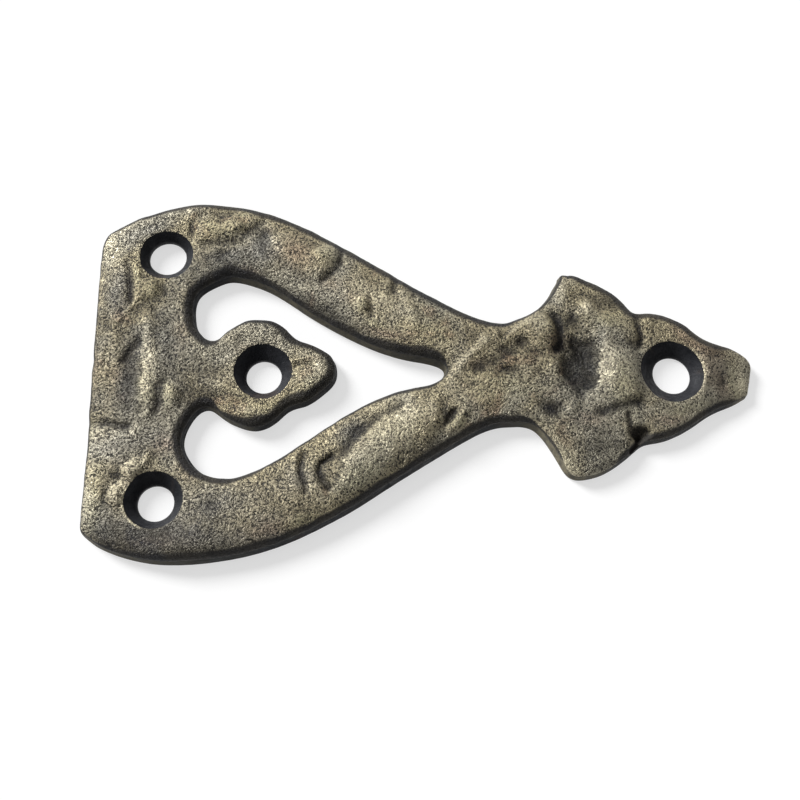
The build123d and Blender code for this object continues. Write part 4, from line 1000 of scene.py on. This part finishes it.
class Net:
    """Short names for the nodes these materials use."""

    def __init__(self, nt):
        self.nt = nt
        self.co = nt.nodes.new("ShaderNodeTexCoord").outputs["Object"]

    def node(self, kind, **sockets):
        n = self.nt.nodes.new(kind)
        for key, v in sockets.items():
            s = n.inputs[key.replace("_", " ")]
            if hasattr(v, "is_linked"):
                self.nt.links.new(v, s)
            else:
                s.default_value = v
        return n

    def noise(self, scale, detail=2.0, rough=0.5, distortion=0.0, co=None):
        return self.node("ShaderNodeTexNoise", Vector=co or self.co, Scale=scale, Detail=detail, Roughness=rough,
                         Distortion=distortion).outputs["Fac"]

    def math(self, op, a, b=0.0, c=None, clamp=False):
        n = self.nt.nodes.new("ShaderNodeMath")
        n.operation, n.use_clamp = op, clamp
        for i, v in enumerate((a, b) if c is None else (a, b, c)):
            if hasattr(v, "is_linked"):
                self.nt.links.new(v, n.inputs[i])
            else:
                n.inputs[i].default_value = v
        return n.outputs[0]

    def ramp(self, v, lo, hi, to_lo=0.0, to_hi=1.0, smooth=True):
        n = self.nt.nodes.new("ShaderNodeMapRange")
        n.interpolation_type = "SMOOTHSTEP" if smooth else "LINEAR"
        self.nt.links.new(v, n.inputs["Value"])
        n.inputs["From Min"].default_value, n.inputs["From Max"].default_value = lo, hi
        n.inputs["To Min"].default_value, n.inputs["To Max"].default_value = to_lo, to_hi
        return n.outputs["Result"]

    def mix(self, fac, a, b, blend="MIX"):
        n = self.nt.nodes.new("ShaderNodeMix")
        n.data_type, n.blend_type = "RGBA", blend
        for s, v in ((n.inputs[0], fac), (n.inputs[6], a), (n.inputs[7], b)):
            if hasattr(v, "is_linked"):
                self.nt.links.new(v, s)
            else:
                s.default_value = v if isinstance(v, float) else (*v, 1.0)
        return n.outputs[2]

    def attribute(self, name):
        n = self.nt.nodes.new("ShaderNodeAttribute")
        n.attribute_name = name
        return n.outputs["Fac"]

    def bump(self, height, distance, strength=1.0, normal=None):
        n = self.nt.nodes.new("ShaderNodeBump")
        n.inputs["Strength"].default_value = strength
        n.inputs["Distance"].default_value = distance
        self.nt.links.new(height, n.inputs["Height"])
        if normal is not None:
            self.nt.links.new(normal, n.inputs["Normal"])
        return n.outputs["Normal"]


# -- the brassed casting face
face_mat, nt, bsdf = new_material("antique_brass_cast_face")
k = Net(nt)
warp = k.node("ShaderNodeTexNoise", Vector=k.co, Scale=420.0, Detail=1.0).outputs["Color"]
bent = k.node("ShaderNodeVectorMath", Vector=warp)
bent.operation = "SCALE"
bent.inputs["Scale"].default_value = 0.0011
moved = nt.nodes.new("ShaderNodeVectorMath")
nt.links.new(k.co, moved.inputs[0])
nt.links.new(bent.outputs[0], moved.inputs[1])
co2 = moved.outputs[0]
tooth_at = k.attribute("tooth")
worm = k.noise(3200.0, 2.0, 0.60, 0.7, co2)
pits = k.node("ShaderNodeTexVoronoi", Vector=co2, Scale=2500.0, Randomness=1.0).outputs["Distance"]
sand = k.noise(6500.0, 1.0, 0.6, 0.0)
coarse = k.noise(900.0, 3.0, 0.55, 0.6)
mottle = k.noise(230.0, 4.0, 0.62, 0.8)
cloud = k.noise(62.0, 3.0, 0.55, 0.5)
fine_at, broad_at, edge_patina_and_shade_at = k.attribute("fine"), k.attribute("broad"), k.attribute("edge_patina_and_shade")
worm_h = k.ramp(worm, 0.34, 0.66)
pit_h = k.ramp(pits, 0.12, 0.55)
height = k.math("ADD", k.math("MULTIPLY", worm_h, 0.60), k.math("MULTIPLY", pit_h, 0.28))
height = k.math("ADD", height, k.math("MULTIPLY", sand, 0.24))
low = k.ramp(height, 0.37, 0.70)                       # 0 in the pits, 1 on the grains
crisp = k.ramp(height, 0.48, 0.62)
low = k.math("ADD", k.math("MULTIPLY", low, k.math("SUBTRACT", 1.0, tooth_at)), k.math("MULTIPLY", crisp, tooth_at))
high = k.math("MULTIPLY", low, k.ramp(fine_at, 0.10, 0.60, 0.55, 1.0))
brass = k.mix(k.ramp(mottle, 0.36, 0.66), (0.345, 0.300, 0.198), (0.435, 0.380, 0.250))
brass = k.mix(k.ramp(cloud, 0.42, 0.62, 0.0, 0.7), brass, (0.365, 0.348, 0.288))
rust = k.math("MULTIPLY", k.ramp(k.noise(150.0, 3.0, 0.6, 0.4), 0.60, 0.74), 0.5)
brass = k.mix(rust, brass, (0.280, 0.172, 0.115))
brass = k.mix(k.math("MULTIPLY", k.attribute("cool"), 0.75), brass, (0.365, 0.365, 0.352))
brass = k.mix(k.math("MULTIPLY", k.attribute("ruddy"), 0.62), brass, (0.350, 0.246, 0.180))
brass = k.mix(k.math("MULTIPLY", k.attribute("olive"), 0.55), brass, (0.400, 0.375, 0.215))
dark_at = k.attribute("dark")
# painted highlight, partly brushed wear: lighter brass where the "dark" patches go below 0, on the tops of lumps
brass = k.mix(k.ramp(dark_at, 0.05, 0.46, 0.62, 0.0, False), brass, (0.590, 0.535, 0.395))
patina = k.mix(k.ramp(mottle, 0.36, 0.66), (0.026, 0.026, 0.028), (0.046, 0.042, 0.036))
# share of brass over patina: patina in hollows and in the edge band, brass on the highs; it carries the painted shade
# and highlights below
wear_and_painted_light = k.ramp(broad_at, 0.10, 0.72, 0.20, 1.0, False)
wear_and_painted_light = k.math("MULTIPLY", wear_and_painted_light, k.ramp(high, 0.0, 0.8, 0.12, 1.05), clamp=True)
# edge band: partly patina, partly painted shade on edges turned from the key light
frayed = k.math("ADD", edge_patina_and_shade_at, k.math("MULTIPLY", k.math("SUBTRACT", mottle, 0.5), 0.35))
frayed = k.math("ADD", frayed, k.math("MULTIPLY", k.math("SUBTRACT", worm, 0.5), 0.40))
kept = k.ramp(frayed, 0.44, 0.68, 1.0, 0.04)
wear_and_painted_light = k.math("MULTIPLY", wear_and_painted_light, kept)
wear_and_painted_light = k.math("MULTIPLY", wear_and_painted_light, k.ramp(k.attribute("rightward_rise"), 0.0, 1.0, 0.62, 1.40, False))
# painted shade and highlight from the "dark" patches, partly patina and wear
wear_and_painted_light = k.math("MULTIPLY", wear_and_painted_light, k.ramp(dark_at, 0.0, 1.0, 1.95, 0.25, False))
# bright brass on part of each countersink rim: partly wear, partly painted highlight
lip_at = k.math("MULTIPLY", k.attribute("lip"), k.ramp(worm, 0.35, 0.60, 0.5, 1.0))
wear_and_painted_light = k.math("MAXIMUM", wear_and_painted_light, lip_at)
brass = k.mix(lip_at, brass, (0.62, 0.56, 0.40))
colour = k.mix(wear_and_painted_light, patina, brass)
nt.links.new(colour, bsdf.inputs["Base Color"])
nt.links.new(k.ramp(high, 0.0, 1.0, 0.60, 0.49), bsdf.inputs["Roughness"])
nt.links.new(k.math("MULTIPLY", kept, 0.76), bsdf.inputs["Metallic"])
bsdf.inputs["Specular IOR Level"].default_value = 0.15
height = k.math("MULTIPLY", height, k.ramp(tooth_at, 0.0, 1.0, 0.40, 1.80, False))
both = k.math("ADD", height, k.math("MULTIPLY", coarse, 1.1))
nt.links.new(k.bump(both, 0.00012, 1.0), bsdf.inputs["Normal"])

# -- side walls and back: dark foundry skin, kept near black partly as painted shade, with painted light on the walls that face the key light
wall_mat, nt, bsdf = new_material("dark_skin_and_painted_shade")
k = Net(nt)
g1 = k.noise(900.0, 4.0, 0.6, 0.4)
g2 = k.noise(210.0, 3.0, 0.55, 0.3)
colour = k.mix(k.ramp(g2, 0.35, 0.68), (0.010, 0.012, 0.015), (0.022, 0.022, 0.022))
colour = k.mix(k.math("MULTIPLY", k.ramp(k.noise(130.0, 3.0, 0.6, 0.4), 0.58, 0.72), 0.5), colour, (0.040, 0.026, 0.020))
# painted light: a lighter colour on the walls that face the key light
colour = k.mix(k.math("MULTIPLY", k.attribute("painted_lit_side"), k.ramp(g1, 0.3, 0.65, 0.35, 1.0)), colour, (0.190, 0.170, 0.118))
nt.links.new(colour, bsdf.inputs["Base Color"])
nt.links.new(k.ramp(g1, 0.3, 0.7, 0.52, 0.75), bsdf.inputs["Roughness"])
bsdf.inputs["Metallic"].default_value = 0.0
bsdf.inputs["Specular IOR Level"].default_value = 0.12
nt.links.new(k.bump(g1, 0.00015, 0.7), bsdf.inputs["Normal"])

# -- machined countersinks and bores under the same dark finish
sink_mat, nt, bsdf = new_material("dark_machined_countersink")
k = Net(nt)
g1 = k.noise(1400.0, 3.0, 0.6, 0.3)
g2 = k.noise(300.0, 3.0, 0.55, 0.3)
colour = k.mix(k.ramp(g2, 0.35, 0.68), (0.010, 0.011, 0.014), (0.026, 0.027, 0.031))
colour = k.mix(k.math("MULTIPLY", k.ramp(k.noise(190.0, 3.0, 0.6, 0.4), 0.52, 0.68), 0.55), colour, (0.040, 0.027, 0.021))
nt.links.new(colour, bsdf.inputs["Base Color"])
nt.links.new(k.ramp(g1, 0.3, 0.7, 0.42, 0.66), bsdf.inputs["Roughness"])
bsdf.inputs["Metallic"].default_value = 0.10
bsdf.inputs["Specular IOR Level"].default_value = 0.22
nt.links.new(k.bump(g1, 0.00015, 0.8), bsdf.inputs["Normal"])

for m in (face_mat, wall_mat, sink_mat):
    mesh.materials.append(m)
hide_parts("hinge_front_casting")
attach(plate, "root")

# ---------------------------------------------------------------- floor, light, camera
floor_mesh = bpy.data.meshes.new("floor")
e = 3.0
floor_mesh.from_pydata([(-e, -e, -0.00005), (e, -e, -0.00005), (e, e, -0.00005), (-e, e, -0.00005)], [], [(0, 1, 2, 3)])
floor = bpy.data.objects.new("floor", floor_mesh)
bpy.context.scene.collection.objects.link(floor)
mat, nt, bsdf = new_material("pale_floor")
k = Net(nt)
nt.links.new(k.mix(k.ramp(k.noise(6.0, 3.0, 0.5), 0.3, 0.7), (0.40, 0.40, 0.40), (0.42, 0.42, 0.42)), bsdf.inputs["Base Color"])
bsdf.inputs["Emission Color"].default_value = (1.0, 1.0, 1.0, 1.0)
bsdf.inputs["Emission Strength"].default_value = 0.63
bsdf.inputs["Roughness"].default_value = 0.9
bsdf.inputs["Specular IOR Level"].default_value = 0.0
floor_mesh.materials.append(mat)


def sun(name, toward, spread, strength, colour=(1, 1, 1)):
    light = bpy.data.lights.new(name, "SUN")
    light.angle, light.energy, light.color = math.radians(spread), strength, colour
    o = bpy.data.objects.new(name, light)
    o.rotation_euler = Vector(toward).to_track_quat("Z", "Y").to_euler()
    bpy.context.scene.collection.objects.link(o)
    return o


sun("key", (-0.66, 0.56, 0.50), 20.0, 4.7)
sun("top", (-0.20, 0.50, 0.84), 40.0, 0.35)
world = bpy.data.worlds.new("studio")
bpy.context.scene.world = world
world.use_nodes = True
# a dim room above a pale horizon
sky = world.node_tree
side = sky.nodes.new("ShaderNodeSeparateXYZ")
sky.links.new(sky.nodes.new("ShaderNodeTexCoord").outputs["Generated"], side.inputs[0])
fade = sky.nodes.new("ShaderNodeMapRange")
fade.interpolation_type = "SMOOTHSTEP"
sky.links.new(side.outputs["Z"], fade.inputs["Value"])
fade.inputs["From Min"].default_value, fade.inputs["From Max"].default_value = 0.0, 0.56
fade.inputs["To Min"].default_value, fade.inputs["To Max"].default_value = 0.86, 0.05
sky.nodes["Background"].inputs[0].default_value = (1.0, 1.0, 1.0, 1.0)
sky.links.new(fade.outputs["Result"], sky.nodes["Background"].inputs[1])
bpy.context.scene.view_settings.view_transform = "Standard"

EYE = Vector((-12.546, -47.877, 132.622)) * 0.001
AIM = Vector((-4.183, -3.815, 0.0)) * 0.001
ROLL = math.radians(-1.224)
look = (AIM - EYE).normalized()
right = look.cross(Vector((0, 1, 0))).normalized()
up = right.cross(look)
r2 = right * math.cos(ROLL) + up * math.sin(ROLL)
u2 = -right * math.sin(ROLL) + up * math.cos(ROLL)
cam = bpy.data.cameras.new("camera")
cam.sensor_width, cam.lens = 36.0, 36.0 * 916.38 / 800.0
cam.clip_start, cam.clip_end = 0.005, 20.0
camera = bpy.data.objects.new("camera", cam)
camera.matrix_world = Matrix((
    (r2.x, u2.x, -look.x, EYE.x),
    (r2.y, u2.y, -look.y, EYE.y),
    (r2.z, u2.z, -look.z, EYE.z),
    (0, 0, 0, 1),
))
bpy.context.scene.collection.objects.link(camera)
bpy.context.scene.camera = camera

print("triangles", len(faces), "vertices", len(verts))
